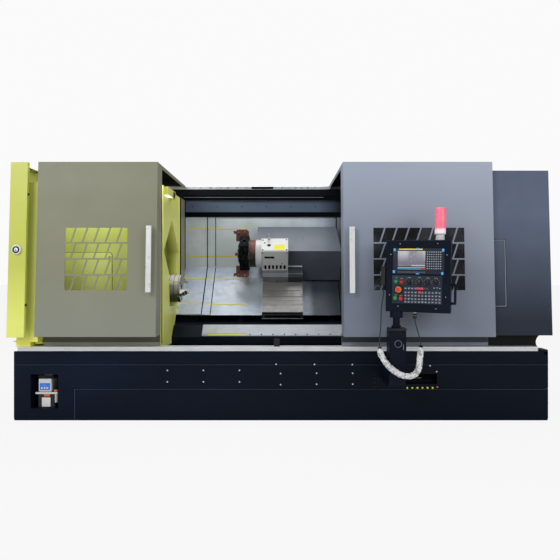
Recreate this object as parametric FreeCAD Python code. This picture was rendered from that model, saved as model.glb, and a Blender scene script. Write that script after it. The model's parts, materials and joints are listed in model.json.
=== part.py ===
import FreeCAD, Part
import math
import os

V = FreeCAD.Vector
os.makedirs("parts", exist_ok=True)

# ------------------------------------------------------------------ driving sizes, mm
# X runs along the spindle to the right, Y from the base front (0) to the back, Z up
HALF_LENGTH = 2137.0        # half the length of the base
LEFT_END = -HALF_LENGTH
BASE_DEPTH = 1450.0
FOOT_HEIGHT = 15.0
BASE_TOP = 548.0
END_BEVEL = 40.0            # at the right end of the base top
FRONT_REACH = 443.0         # pendant in front of the base
REAR_REACH = 1580.0         # latch of the switch cabinet behind the base front
Y_MID = (REAR_REACH - FRONT_REACH) / 2

RUN_GAP = 0.3               # between flat faces that slide
FIT_GAP = 0.05              # between a shaft and its bore, on the radius
SHEET = 3.0                 # enclosure sheet
PANEL_SEAM = 3.0

# leaning front of the enclosure
DOOR_BOTTOM = 683.0
DOOR_TOP = 2056.0
FRONT_LOW_Y = -125.0        # outer face at the bottom of the doors
FRONT_HIGH_Y = -49.0        # outer face at the top of the doors
LEAN = (FRONT_HIGH_Y - FRONT_LOW_Y) / (DOOR_TOP - DOOR_BOTTOM)

# sliding doors, open as they stand
LEFT_DOOR = (LEFT_END + 217.0, -975.0)
RIGHT_DOOR = (490.0, HALF_LENGTH - 465.0)
DOORS_MEET_X = -30.0
MEETING_GAP = 1.0           # from each door to the line where they meet
LEFT_TRAVEL = DOORS_MEET_X - MEETING_GAP - LEFT_DOOR[1]
RIGHT_TRAVEL = RIGHT_DOOR[0] - DOORS_MEET_X - MEETING_GAP
LEFT_WINDOW = (LEFT_DOOR[0] + 227.0, LEFT_DOOR[1] - 232.0)
RIGHT_WINDOW = (RIGHT_DOOR[0] + 236.0, RIGHT_DOOR[1] - 232.0)
WINDOW_Z = (1046.0, 1536.0)
GRILLE_ROWS = 4
GRILLE_BAR = 12.0
GRILLE_LEAN = math.tan(math.radians(18.5))
LEFT_BARS = 5
RIGHT_BARS = 7
LEFT_BAR_PITCH = (LEFT_WINDOW[1] - LEFT_WINDOW[0]) / 5.4
RIGHT_BAR_PITCH = (RIGHT_WINDOW[1] - RIGHT_WINDOW[0]) / 7.516
GLASS = 6.0
INNER_RETURN = 165.0
OUTER_RETURN = 100.0
SKIRT_Y = 41.0
SKIRT_SHEET = 4.0
ROOF_SHEET = 4.0
ROOF_FLANGE = 25.0
HANDLE_WIDTH = 43.0
HANDLE_PROUD = 55.0
HANDLE_THICK = 20.0
LEFT_HANDLE_X = LEFT_DOOR[1] - 54.0
RIGHT_HANDLE_X = RIGHT_DOOR[0] + 63.0
LEFT_HANDLE_Z = (1032.0, 1550.0)
RIGHT_HANDLE_Z = (1026.0, 1542.0)
WHEEL_R = 20.0
WHEEL_WIDTH = 14.0

# rails the doors run on
RAIL_X = (LEFT_END + 27.0, HALF_LENGTH - 79.0)
RAIL_DEPTH = 75.0
RAIL_TOP = BASE_TOP + 42.0
REAR_RAIL_Y = (1190.0, 1250.0)
REAR_RAIL_Z = (DOOR_TOP - 35.0, DOOR_TOP - 5.0)
STOP_X = (DOORS_MEET_X - 27.0, DOORS_MEET_X + 18.0)
STOP_HEIGHT = 62.0

# slant bed: u runs down the slope to the front, n stands out of it
FOLD_Y = 1250.0
FOLD_Z = 1235.0
SLOPE = math.sqrt(0.5)
SLOPE_LENGTH = 636.4
BED_FACE_N = -95.0
BED_BACK_Y = 1330.0
BED_X = (LEFT_END + 237.0, HALF_LENGTH - 477.0)
BED_FRONT_Y = 560.0
LEDGE_TOP = 65.0            # ledge plane is Z = Y + this
LEDGE_PLATE = 25.0          # how much lower the casting under it lies, along Z
LEDGE_Y = (550.0, 640.0)
LEDGE_FOOT_Y = 652.5        # back of the ledge in the casting
LEDGE_X = (-712.0, BED_X[1] - 60.0)
GUIDE_U = (90.0, 560.0)
GUIDE_WIDTH = 45.0
GUIDE_TOP_N = -35.0
GUIDE_X = (-1250.0, BED_X[1] - 40.0)
SCREW_U = 325.0
SCREW_N = -60.0
SCREW_R = 20.0
SCREW_X = (-1260.0, BED_X[1] - 160.0)
SCREW_LEAD = 20.0
SCREW_BEARING = 40.0

# telescopic way covers
PLATE = 2.0
COVER_N = 0.0               # underside of the fixed plates
MID_N = -6.0
WING_N = -12.0
COVER_TOP = DOOR_TOP - 291.0
MOVING_TOP = COVER_TOP - 13.0
LEFT_FIXED = (-1105.0, -747.0)
RIGHT_FIXED = (562.0, BED_X[1])
MID_COVER = (-940.0, -665.0)
WING_X = (-860.0, 1000.0)
WIPER = 12.0

# carriage and cross slide
SADDLE_X = (-178.0, 206.0)
SADDLE_U = (40.0, 640.0)
SADDLE_TOP_N = 60.0
SADDLE_UNDER_N = -32.0
SADDLE_BLOCKS = ((-170.0, -50.0), (80.0, 198.0))
BLOCK_HALF_U = 44.0
BLOCK_FOOT_N = -88.0
CARRIAGE_RANGE = (-400.0, 350.0)
CROSS_TRAVEL = 239.0
SLIDE_KEY = (-46.0, 74.0)
KEY_DEPTH = 40.0
FOOT_U = (45.0, 285.0)
FOOT_CONTACT_U = 205.0
FOOT_TOP_N = 167.0
SLAT = 3.0
SLAT_STEP = 4.0
SLAT_ENDS = ((290.0, 400.0), (330.0, 472.0), (400.0, 574.0), (470.0, 696.0))
SLAT_GROOVES = ((330.0, 365.0), (437.0,), (522.0,))
TURRET_Y = 980.0
TURRET_Z = 1365.0
HOUSING_X = (-187.0, 68.0)
HOUSING_U = (37.0, 214.0)
HOUSING_N = 423.0
FLANGE_X = -244.0
FLANGE_R = 133.0
RING_X = -307.0
RING_R = 128.0
DISC_X = (-395.0, -307.0)
DISC_APOTHEM = 165.0
STATIONS = 8
HOLDER_STATIONS = (0, 4, 6)   # stations that carry a holder: top, bottom and rear
STATION_SPACING = (56.0, 52.0)
STATION_HOLE_R = 5.5
TOOL_X = (-434.0, -307.0)
TOOL_R = 228.0
COVER_X = (-234.0, 585.0)
COVER_TOP_N = 320.0
COVER_BACK_U = -253.0
COVER_RIDGE_U = 104.0
COVER_BEVEL = 34.0
TURRET_SHAFT_R = 45.0
TURRET_SHAFT = 110.0
STATION_DEPTH = 24.0
SOCKET_R = 15.0
SOCKET_DEPTH = 30.0

# spindle, chuck and drive
AXIS_Y = 650.0
AXIS_Z = 1035.0
HEAD_X = (LEFT_END + 287.0, -1280.0)
NOSE_R = 190.0
NOSE_END = -1105.0
SPINDLE_R = 70.0
SPINDLE_BORE = 37.5
SPINDLE_X = (LEFT_END + 147.0, -1035.0)
SPINDLE_FLANGE_R = 120.0
SPINDLE_FLANGE_X = -1086.0
CHUCK_R = 125.0
CHUCK_FACE = -911.0
JAW_FACE = -852.0
JAW_WIDTH = 34.0
JAW_TONGUE = 18.0
JAW_RADII = (48.0, 112.0)
JAW_TRAVEL = 5.0
PULLEY_X = (LEFT_END + 177.0, LEFT_END + 237.0)
PULLEY_R = 140.0
MOTOR_Y = 330.0
MOTOR_Z = 725.0
MOTOR_R = 145.0
MOTOR_X = (LEFT_END + 277.0, -1380.0)
MOTOR_PULLEY_R = 90.0
MOTOR_SHAFT_R = 24.0
BELT = 8.0
BELT_SIDE = 5.0

# tailstock
TAIL_X = (900.0, 1230.0)
TAIL_HEAD_R = 120.0
QUILL_R = 55.0
QUILL_X = (790.0, 1185.0)
QUILL_CONE = 70.0
TAIL_RANGE = (-250.0, 300.0)
QUILL_RANGE = (-100.0, 40.0)

# enclosure
BEAM_Y = 1200.0             # front of the beam that carries the rear rail
LIP_Y = 1238.0              # lip that hangs in front of the covers
LIP_DROP = 23.0
GROOVE_DROP = 55.0          # from the top of the beam to the groove along it
GROOVE_WIDTH = 6.0
WALL_LEFT = LEFT_END + 17.0
GUARD_Y = 136.0
GUARD_TOP = DOOR_TOP - 151.0
GUARD_LEFT = LEFT_END + 212.0
GUARD_PLATE = 4.0
GUARD_SKIRT = 44.0          # from the end cover down to the shelf of its frame
BEAM_STEP_Z = GUARD_TOP + 3.0
BULKHEAD_X = (-990.0, -985.0)
POCKET = ((234.0, 1364.0), (578.0, 1662.0), (922.0, 1364.0), (862.0, 1180.0),
          (820.0, 880.0), (480.0, 880.0), (440.0, 1180.0))
POCKET_BACK = (-1100.0, -1092.0)
POCKET_WALL = 4.0
POCKET_HOLE_R = 100.0
POST_TOP = COVER_TOP - 30.0
POST_Y = 925.0
TAIL_PANEL_X = 1130.0
CABINET_X = (RIGHT_DOOR[1] + PANEL_SEAM, HALF_LENGTH)
CABINET_Z = (DOOR_BOTTOM + 6.0, DOOR_TOP - 57.0)
CABINET_SET_BACK = 50.0
PLINTH_SCOOP = 95.0         # reach of the scooped end of the cabinet's plinth
END_COVER_X = LEFT_END
END_COVER_EDGE = END_COVER_X + 135.0
END_COVER_Z = (DOOR_BOTTOM - 4.0, DOOR_TOP + 2.0)
END_COVER_RETURN = 40.0
END_HINGE_Y = 1300.0
END_FRAME_SET_BACK = 78.0
END_HINGES = (END_COVER_Z[0] + 150.0, END_COVER_Z[1] - 240.0)  # underside of each knuckle
END_KNUCKLE = 90.0
END_PIN_R = 6.0
BAR_INLET_R = 60.0          # hole in the end cover for bar stock, in line with the spindle
LOCK_X = END_COVER_X + 65.0
LOCK_Z = 1369.0
LOCK_R = 35.5
LOCK_BARREL_R = 14.0
SWITCH_X = (HALF_LENGTH - 1437.0, HALF_LENGTH - 437.0)
SWITCH_Y = (1336.0, 1536.0)
SWITCH_Z = (BASE_TOP, DOOR_TOP - 156.0)
SWITCH_DOOR = 20.0

# coolant tank and lubrication unit in the base
TANK_X = (LEFT_END + 483.0, HALF_LENGTH)
TANK_TOP = 254.0
TANK_DEPTH = 520.0
TROUGH_X = (-960.0, BED_X[1] - 60.0)
TROUGH_Y = (95.0, 545.0)
TROUGH_FLOOR = 330.0
SEAM_Z = 452.0
LUBE_X = (LEFT_END + 134.0, LEFT_END + 353.0)
LUBE_Z = (96.0, 368.0)
LUBE_DEPTH = 200.0
SLOT_X = (992.0, 1248.0)
SLOT_Z = (292.0, 372.0)
SLOT_DEPTH = 60.0
FOOT_PLATE = 9.0
FOOT_PAD_R = 58.0
FOOT_STUD_R = 16.0
FEET = ([(x, 62.0) for x in (LEFT_END + 77.0, LEFT_END + 412.0)]
        + [(x, TANK_DEPTH + 75.0) for x in (-1000.0, 0.0, 1000.0, HALF_LENGTH - 77.0)]
        + [(x, BASE_DEPTH - 65.0) for x in (LEFT_END + 77.0, -1000.0, 0.0, 1000.0, HALF_LENGTH - 77.0)])

# pendant on its column
COLUMN_X = 867.0
COLUMN_Y = -270.0
COLUMN_WIDTH = 126.0
COLUMN_THICK = 110.0
COLUMN_TOP = 770.0
COLUMN_BOTTOM = 324.0
TUBE_R = 26.0
TUBE_SOCKET = 60.0
CASE_WIDTH = 466.0
CASE_HEIGHT = 534.0
CASE_DEPTH = 150.0
CASE_CENTRE = V(1005.0, -362.0, 1158.0)
CASE_YAW = -20.0
CASE_ROLL = 0.8
CASE_ROUND = 8.0
DISPLAY = (-184.0, 190.0, 14.0, 207.0)      # recesses in the case front: left, right, low, high
KEY_PANEL = (-188.0, 177.0, -206.0, 7.0)
# spots on the case front, from its middle
ESTOP_SPOT = (-139.0, -101.0)
PUSH_SPOTS = ((-156.0, -41.0), (-117.0, -44.0))
FIXED_BUTTONS = ((-161.0, -165.0), (-120.0, -167.0))
KNOB_SPOTS = ((-61.0, -42.0), (12.0, -42.0), (72.0, -42.0), (129.0, -42.0))
ESTOP_TRAVEL = 5.0
PUSH_TRAVEL = 3.0
HAND_UNIT = (-CASE_WIDTH / 2 - 41.0, -CASE_WIDTH / 2 - PANEL_SEAM)
CASE_HANDLE_Z = (-204.0, -48.0)
LAMP_SPOT_X = 150.0
LAMP_BASE_HEIGHT = 46.0
LAMP_HEIGHT = 240.0
LEAD_PLUG = V(994.0, -318.0, 862.0)
HAND_PLUG = V(780.0, -233.0, 1070.0)
LEAD_R = 4.0
SLEEVE_R = 21.0
# Points of the lead, chosen by hand along its run
EXIT_ROUTE = [V(994, -318, 862), V(994, -318, 830), V(1000, -332, 794), V(1008, -350, 754),
              V(1016, -371, 712), V(1022, -392, 678), V(1020, -396, 646)]
SLEEVE_ROUTE = [V(1020, -396, 646), V(1017, -402, 598), V(1008, -405, 548), V(1006, -408, 498),
                V(985, -410, 452),
                V(943, -410, 430), V(898, -408, 432), V(858, -404, 448), V(818, -398, 472), V(782, -390, 506),
                V(752, -380, 546), V(730, -366, 592), V(728, -356, 628)]
RISE_ROUTE = [V(728, -356, 628), V(726, -346, 664), V(732, -328, 710), V(743, -304, 766), V(750, -280, 836),
              V(755, -262, 912), V(768, -246, 980), V(780, -233, 1032), V(780, -233, 1070)]


# ------------------------------------------------------------------ shape helpers
def box(x0, x1, y0, y1, z0, z1):
    return Part.makeBox(x1 - x0, y1 - y0, z1 - z0, V(x0, y0, z0))


def face(points):
    return Part.Face(Part.makePolygon(points + [points[0]]))


def section_x(yz, x0, x1):
    """Prism along X over a closed outline of (Y, Z) points."""
    return face([V(x0, y, z) for y, z in yz]).extrude(V(x1 - x0, 0, 0))


def section_y(xz, y0, y1):
    return face([V(x, y0, z) for x, z in xz]).extrude(V(0, y1 - y0, 0))


def cylinder(start, end, radius):
    run = end - start
    return Part.makeCylinder(radius, run.Length, start, run)


def tube(start, end, outer, inner):
    return cylinder(start, end, outer).cut(cylinder(start, end, inner))


def cone(start, end, radius_0, radius_1):
    run = end - start
    return Part.makeCone(radius_0, radius_1, run.Length, start, run)


def on_bed(u, n):
    """(Y, Z) of a point on the slant bed."""
    return FOLD_Y - (u + n) * SLOPE, FOLD_Z + (n - u) * SLOPE


def section_bed(un, x0, x1):
    return section_x([on_bed(u, n) for u, n in un], x0, x1)


def bed_box(x0, x1, u0, u1, n0, n1):
    return section_bed([(u0, n0), (u1, n0), (u1, n1), (u0, n1)], x0, x1)


def front_y(z, set_back=0.0):
    """Y of the leaning front at a height."""
    return FRONT_LOW_Y + (z - DOOR_BOTTOM) * LEAN + set_back


def front_sheet(x0, x1, z0, z1, set_back=0.0, thick=SHEET):
    """Sheet that lies in the leaning front."""
    near = [(front_y(z0, set_back), z0), (front_y(z1, set_back), z1)]
    far = [(front_y(z1, set_back + thick), z1), (front_y(z0, set_back + thick), z0)]
    return section_x(near + far, x0, x1)


def fuse(first, *others):
    return first.fuse(list(others)).removeSplitter()


def save(name, shape):
    placed = shape.copy()
    placed.translate(V(0, -Y_MID, 0))
    placed.exportStep("parts/" + name + ".step")


FRONT_NORMAL = V(0, -1, LEAN).normalize()


# ------------------------------------------------------------------ base, tank and lubrication
def base_frame():
    body = box(-HALF_LENGTH, HALF_LENGTH, 0, BASE_DEPTH, FOOT_HEIGHT, BASE_TOP)
    tank_room = box(TANK_X[0] - PANEL_SEAM, TANK_X[1] + 1, -1, TANK_DEPTH,
                    FOOT_HEIGHT - 1, TANK_TOP + PANEL_SEAM)
    trough = box(*TROUGH_X, *TROUGH_Y, TROUGH_FLOOR, BASE_TOP + 1)
    lube_room = box(*LUBE_X, -1, LUBE_DEPTH, *LUBE_Z)
    slot = box(*SLOT_X, -1, SLOT_DEPTH, *SLOT_Z)
    seam = box(-HALF_LENGTH - 1, HALF_LENGTH + 1, -1, PANEL_SEAM, SEAM_Z - PANEL_SEAM / 2,
               SEAM_Z + PANEL_SEAM / 2)
    body = body.cut([tank_room, trough, lube_room, slot, seam])
    x = HALF_LENGTH
    bevel = section_y([(x, BASE_TOP), (x - END_BEVEL, BASE_TOP), (x, BASE_TOP - END_BEVEL)], 0, BASE_DEPTH)
    return body.cut(bevel)


def coolant_tank():
    tank = box(*TANK_X, 0, TANK_DEPTH, FOOT_HEIGHT, TANK_TOP)
    tank = tank.makeChamfer(2.0, [edge for edge in tank.Edges
                                  if edge.BoundBox.YMax < 1 and edge.Length > 1000])
    inset = 150.0
    pads = [cylinder(V(x, y, 0), V(x, y, FOOT_HEIGHT), 40.0)
            for x in (TANK_X[0] + inset, 0, TANK_X[1] - inset) for y in (inset / 2, TANK_DEPTH - inset / 2)]
    return fuse(tank, *pads)


def levelling_feet():
    feet = []
    for x, y in FEET:
        pad = cylinder(V(x, y, 0), V(x, y, FOOT_PLATE), FOOT_PAD_R)
        stud = cylinder(V(x, y, FOOT_PLATE), V(x, y, FOOT_HEIGHT), FOOT_STUD_R)
        feet.append(pad.fuse(stud))
    return Part.makeCompound(feet)


def lube_tank():
    x0 = LUBE_X[0] + 42.0
    x1 = LUBE_X[0] + 187.0
    y0 = 30.0
    y1 = LUBE_DEPTH - 25.0
    tank = box(x0, x1, y0, y1, LUBE_Z[0], LUBE_Z[0] + 112.0)
    tank = tank.makeFillet(14.0, [edge for edge in tank.Edges if abs(edge.BoundBox.ZLength) > 100])
    lid = box(x0 - 8, x1 + 18, y0 - 6, y1, LUBE_Z[0] + 112.0, LUBE_Z[0] + 126.0)
    neck_x = x1 + 3.0
    neck = cylinder(V(neck_x, y0 + 14, LUBE_Z[0] + 126.0), V(neck_x, y0 + 14, LUBE_Z[0] + 138.0), 11.0)
    cap = cylinder(V(neck_x, y0 + 14, LUBE_Z[0] + 138.0), V(neck_x, y0 + 14, LUBE_Z[0] + 152.0), 15.0)
    return fuse(tank, lid, neck, cap)


def lube_pump():
    z0 = LUBE_Z[0] + 126.0
    x0 = LUBE_X[0] + 46.0
    head = box(x0, x0 + 106.0, 40.0, 165.0, z0, z0 + 100.0)
    head = head.makeFillet(10.0, [edge for edge in head.Edges if abs(edge.BoundBox.ZLength) > 90])
    motor = cylinder(V(x0 + 53, 120, z0 + 100), V(x0 + 53, 120, z0 + 132), 34.0)
    outlet = cylinder(V(x0 + 53, 165, z0 + 40), V(x0 + 53, LUBE_DEPTH, z0 + 40), 7.0)
    return fuse(head, motor, outlet)


# ------------------------------------------------------------------ bed, ways and covers
def bed():
    ledge = LEDGE_TOP - LEDGE_PLATE
    toe = on_bed(SLOPE_LENGTH - 3.6, BED_FACE_N)
    crest = on_bed(0, BED_FACE_N)
    outline = [(BED_FRONT_Y, BASE_TOP), (BED_FRONT_Y, BED_FRONT_Y + ledge),
               (LEDGE_FOOT_Y, LEDGE_FOOT_Y + ledge),
               (700.0, 700.0), toe, crest, (BED_BACK_Y, crest[1]), (BED_BACK_Y, BASE_TOP)]
    casting = section_x(outline, *BED_X)
    half = 55.0
    blocks = [bed_box(x0, x0 + SCREW_BEARING, SCREW_U - half, SCREW_U + half, BED_FACE_N, GUIDE_TOP_N + 1)
              for x0 in (SCREW_X[0], SCREW_X[1] - SCREW_BEARING)]
    rib = bed_box(BED_X[1] - 20, BED_X[1], 20, SLOPE_LENGTH - 8, BED_FACE_N, COVER_N)
    y, z = on_bed(SCREW_U, SCREW_N)
    bore = cylinder(V(SCREW_X[0] - 1, y, z), V(SCREW_X[1] + 1, y, z), SCREW_R + FIT_GAP)
    casting = casting.fuse(blocks + [rib]).cut(bore)
    core_y = (720.0, 1240.0)
    cores = [section_x([(core_y[0], BASE_TOP - 1), (core_y[0], 640.0), (core_y[1], 960.0),
                        (core_y[1], BASE_TOP - 1)],
                       x0, x0 + 380.0) for x0 in (-800.0, -360.0, 80.0, 520.0, 960.0)]
    return casting.cut(cores)


def guide_rails():
    half = GUIDE_WIDTH / 2
    rails = []
    for u in GUIDE_U:
        outline = [(u - half, BED_FACE_N), (u + half, BED_FACE_N), (u + half, -72.0), (u + half - 7, -64.0),
                   (u + half - 7, -54.0), (u + half, -46.0), (u + half, GUIDE_TOP_N), (u - half, GUIDE_TOP_N),
                   (u - half, -46.0), (u - half + 7, -54.0), (u - half + 7, -64.0), (u - half, -72.0)]
        rails.append(section_bed(outline, *GUIDE_X))
    return Part.makeCompound(rails)


def tailstock_way():
    drop = LEDGE_PLATE / 2
    y0, y1 = LEDGE_Y
    outline = [(y0, y0 + LEDGE_TOP), (y1, y1 + LEDGE_TOP), (y1 + drop, y1 + LEDGE_TOP - drop),
               (y0 + drop, y0 + LEDGE_TOP - drop)]
    return section_x(outline, *LEDGE_X)


def cover_plate(x0, x1, n, top):
    """Plate that lies on the slope and turns up at the fold to stand against the back."""
    y_fold, z_fold = on_bed(0, n)
    foot = on_bed(SLOPE_LENGTH, n)
    wall_y = FOLD_Y - n - PLATE
    reach = PLATE * math.sqrt(2)
    out = on_bed(SLOPE_LENGTH, n + PLATE)
    under_z = wall_y + PLATE + z_fold - y_fold
    outline = [foot, (wall_y + PLATE, under_z), (wall_y + PLATE, top), (wall_y, top),
               (wall_y, wall_y + z_fold - y_fold + reach), out]
    return section_x(outline, x0, x1)


def wiper(x0, x1, n, top, gap_to):
    """Strip under the edge of a plate that reaches down to the plate below."""
    drop = n - gap_to
    slope = bed_box(x0, x1, 20, SLOPE_LENGTH - 4, gap_to, n)
    wall = box(x0, x1, FOLD_Y - n, FOLD_Y - n + drop, FOLD_Z + 40, top - 20)
    return slope.fuse(wall)


def z_covers_fixed():
    over_mid = MID_N + PLATE + RUN_GAP
    over_wing = WING_N + PLATE + RUN_GAP
    left = cover_plate(*LEFT_FIXED, COVER_N, COVER_TOP)
    left = left.fuse(wiper(LEFT_FIXED[1] - WIPER, LEFT_FIXED[1], COVER_N, MOVING_TOP, over_mid))
    right = cover_plate(*RIGHT_FIXED, COVER_N, COVER_TOP)
    right = right.fuse(wiper(RIGHT_FIXED[0], RIGHT_FIXED[0] + WIPER, COVER_N, MOVING_TOP, over_wing))
    return Part.makeCompound([left, right])


def z_cover_mid():
    over_wing = WING_N + PLATE + RUN_GAP
    plate = cover_plate(*MID_COVER, MID_N, MOVING_TOP)
    return plate.fuse(wiper(MID_COVER[1] - WIPER, MID_COVER[1], MID_N, MOVING_TOP, over_wing))


def z_screw():
    y, z = on_bed(SCREW_U, SCREW_N)
    return cylinder(V(SCREW_X[0], y, z), V(SCREW_X[1], y, z), SCREW_R)


# ------------------------------------------------------------------ headstock, spindle and drive
def headstock():
    seat = on_bed(0, BED_FACE_N)[1] - on_bed(0, BED_FACE_N)[0]
    outline = [(870, 870 + seat), (1290, 1290 + seat), (1200, 1230), (900, 1300), (560, 1300), (440, 1180),
               (440, 900), (560, 790), (700, 760)]
    block = section_x(outline, *HEAD_X)
    block = block.fuse(cylinder(V(HEAD_X[1], AXIS_Y, AXIS_Z), V(NOSE_END, AXIS_Y, AXIS_Z), NOSE_R))
    bore = cylinder(V(HEAD_X[0] - 1, AXIS_Y, AXIS_Z), V(NOSE_END + 1, AXIS_Y, AXIS_Z), SPINDLE_R + FIT_GAP)
    return block.cut(bore)


def spindle():
    bar = cylinder(V(SPINDLE_X[0], AXIS_Y, AXIS_Z), V(SPINDLE_FLANGE_X, AXIS_Y, AXIS_Z), SPINDLE_R)
    flange = cylinder(V(SPINDLE_FLANGE_X, AXIS_Y, AXIS_Z), V(SPINDLE_X[1], AXIS_Y, AXIS_Z), SPINDLE_FLANGE_R)
    bore = cylinder(V(SPINDLE_X[0] - 1, AXIS_Y, AXIS_Z), V(SPINDLE_X[1] + 1, AXIS_Y, AXIS_Z), SPINDLE_BORE)
    return bar.fuse(flange).cut(bore)


def grooved_pulley(y, z, radius, bore):
    """Poly-V pulley; its grooves are a row of rings."""
    rings = 5
    depth = 6.0
    x0, x1 = PULLEY_X
    flat = BELT_SIDE
    pitch = (x1 - x0 - 2 * flat) / rings
    profile = [V(x0, bore, 0), V(x1, bore, 0), V(x1, radius, 0)]
    for ring in range(rings):
        profile.append(V(x1 - flat - ring * pitch, radius, 0))
        profile.append(V(x1 - flat - (ring + 0.5) * pitch, radius - depth, 0))
    profile += [V(x0 + flat, radius, 0), V(x0, radius, 0)]
    wheel = face(profile).revolve(V(0, 0, 0), V(1, 0, 0), 360)
    wheel.translate(V(0, y, z))
    return wheel


def spindle_pulley():
    return grooved_pulley(AXIS_Y, AXIS_Z, PULLEY_R, SPINDLE_R)


def motor_pulley():
    wheel = grooved_pulley(MOTOR_Y, MOTOR_Z, MOTOR_PULLEY_R, MOTOR_SHAFT_R)
    shaft = cylinder(V(PULLEY_X[0], MOTOR_Y, MOTOR_Z), V(MOTOR_X[0] + 60, MOTOR_Y, MOTOR_Z), MOTOR_SHAFT_R)
    return wheel.fuse(shaft)


def spindle_motor():
    y, z = MOTOR_Y, MOTOR_Z
    case = cylinder(V(MOTOR_X[0], y, z), V(MOTOR_X[1], y, z), MOTOR_R)
    feet = [box(x, x + 90, y - 120, y + 120, BASE_TOP, z - 60) for x in (MOTOR_X[0] + 60, MOTOR_X[1] - 150)]
    motor = case.fuse(feet)
    fins = []
    fin_run = MOTOR_X[1] - MOTOR_X[0] - 120
    for step in range(12):
        angle = math.radians(20 + step * 12.7)
        base = V(0, math.cos(angle), math.sin(angle))
        side = V(0, -math.sin(angle), math.cos(angle)) * 3
        low = V(MOTOR_X[0] + 60, y, z) + base * (MOTOR_R - 3)
        high = V(MOTOR_X[0] + 60, y, z) + base * (MOTOR_R + 12)
        fins.append(face([low - side, high - side, high + side, low + side]).extrude(V(fin_run, 0, 0)))
    bore = cylinder(V(MOTOR_X[0] - 1, y, z), V(MOTOR_X[0] + 60.5, y, z), MOTOR_SHAFT_R + FIT_GAP)
    return motor.fuse(fins).cut(bore)


def belt_outline(spread):
    """Face inside the line of a belt round both pulleys, at a distance off them."""
    big = PULLEY_R + spread
    small = MOTOR_PULLEY_R + spread
    run = V(0, MOTOR_Y - AXIS_Y, MOTOR_Z - AXIS_Z)
    heading = math.atan2(run.z, run.y)
    swing = math.acos((big - small) / run.Length)
    x0 = PULLEY_X[0] + BELT_SIDE

    def rim(y, z, radius, angle):
        return V(x0, y + radius * math.cos(angle), z + radius * math.sin(angle))

    big_arc = Part.Arc(rim(AXIS_Y, AXIS_Z, big, heading + swing), rim(AXIS_Y, AXIS_Z, big, heading + math.pi),
                       rim(AXIS_Y, AXIS_Z, big, heading - swing)).toShape()
    small_arc = Part.Arc(rim(MOTOR_Y, MOTOR_Z, small, heading - swing), rim(MOTOR_Y, MOTOR_Z, small, heading),
                         rim(MOTOR_Y, MOTOR_Z, small, heading + swing)).toShape()
    lower = Part.LineSegment(rim(AXIS_Y, AXIS_Z, big, heading - swing),
                             rim(MOTOR_Y, MOTOR_Z, small, heading - swing)).toShape()
    upper = Part.LineSegment(rim(MOTOR_Y, MOTOR_Z, small, heading + swing),
                             rim(AXIS_Y, AXIS_Z, big, heading + swing)).toShape()
    return Part.Face(Part.Wire([big_arc, lower, small_arc, upper]))


def drive_belt():
    width = V(PULLEY_X[1] - PULLEY_X[0] - 2 * BELT_SIDE, 0, 0)
    return belt_outline(RUN_GAP + BELT).extrude(width).cut(belt_outline(RUN_GAP).extrude(width))


def jaw_frame(shape, index):
    shape.rotate(V(0, AXIS_Y, AXIS_Z), V(1, 0, 0), 120.0 * index)
    return shape


def chuck_body():
    body = cylinder(V(SPINDLE_X[1], AXIS_Y, AXIS_Z), V(CHUCK_FACE, AXIS_Y, AXIS_Z), CHUCK_R)
    body = body.makeChamfer(5.0, [edge for edge in body.Edges if len(edge.Vertexes) == 1])
    bore = cylinder(V(SPINDLE_X[1] - 1, AXIS_Y, AXIS_Z), V(CHUCK_FACE + 1, AXIS_Y, AXIS_Z), SPINDLE_BORE)
    half = JAW_WIDTH / 4 + RUN_GAP
    slots = [jaw_frame(box(CHUCK_FACE - JAW_TONGUE - RUN_GAP, CHUCK_FACE + 1, AXIS_Y - half, AXIS_Y + half,
                           AXIS_Z + JAW_RADII[0] - 9, AXIS_Z + CHUCK_R + 5), index) for index in range(3)]
    drilling = cylinder(V(CHUCK_FACE - 20, AXIS_Y + 52, AXIS_Z + 62),
                        V(CHUCK_FACE + 1, AXIS_Y + 52, AXIS_Z + 62), 8.0)
    holes = [jaw_frame(drilling.copy(), index) for index in range(3)]
    return body.cut([bore] + slots + holes)


def chuck_jaw(index):
    half = JAW_WIDTH / 2
    low, high = JAW_RADII
    face_x = CHUCK_FACE + RUN_GAP
    depth = JAW_FACE - face_x
    steps = [(face_x, low), (JAW_FACE, low), (JAW_FACE, low + 20), (JAW_FACE - depth * 0.36, low + 20),
             (JAW_FACE - depth * 0.36, low + 42), (JAW_FACE - depth * 0.68, low + 42),
             (JAW_FACE - depth * 0.68, high), (face_x, high)]
    top = face([V(x, AXIS_Y - half, AXIS_Z + z) for x, z in steps]).extrude(V(0, JAW_WIDTH, 0))
    tongue = box(CHUCK_FACE - JAW_TONGUE, face_x, AXIS_Y - half / 2, AXIS_Y + half / 2, AXIS_Z + low,
                 AXIS_Z + high)
    bolts = [cylinder(V(x, AXIS_Y, AXIS_Z + z), V(x - 10, AXIS_Y, AXIS_Z + z), 7.0)
             for x, z in ((JAW_FACE - depth * 0.36, low + 31), (JAW_FACE - depth * 0.68, low + 53))]
    return jaw_frame(top.fuse(tongue).cut(bolts), index)


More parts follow.
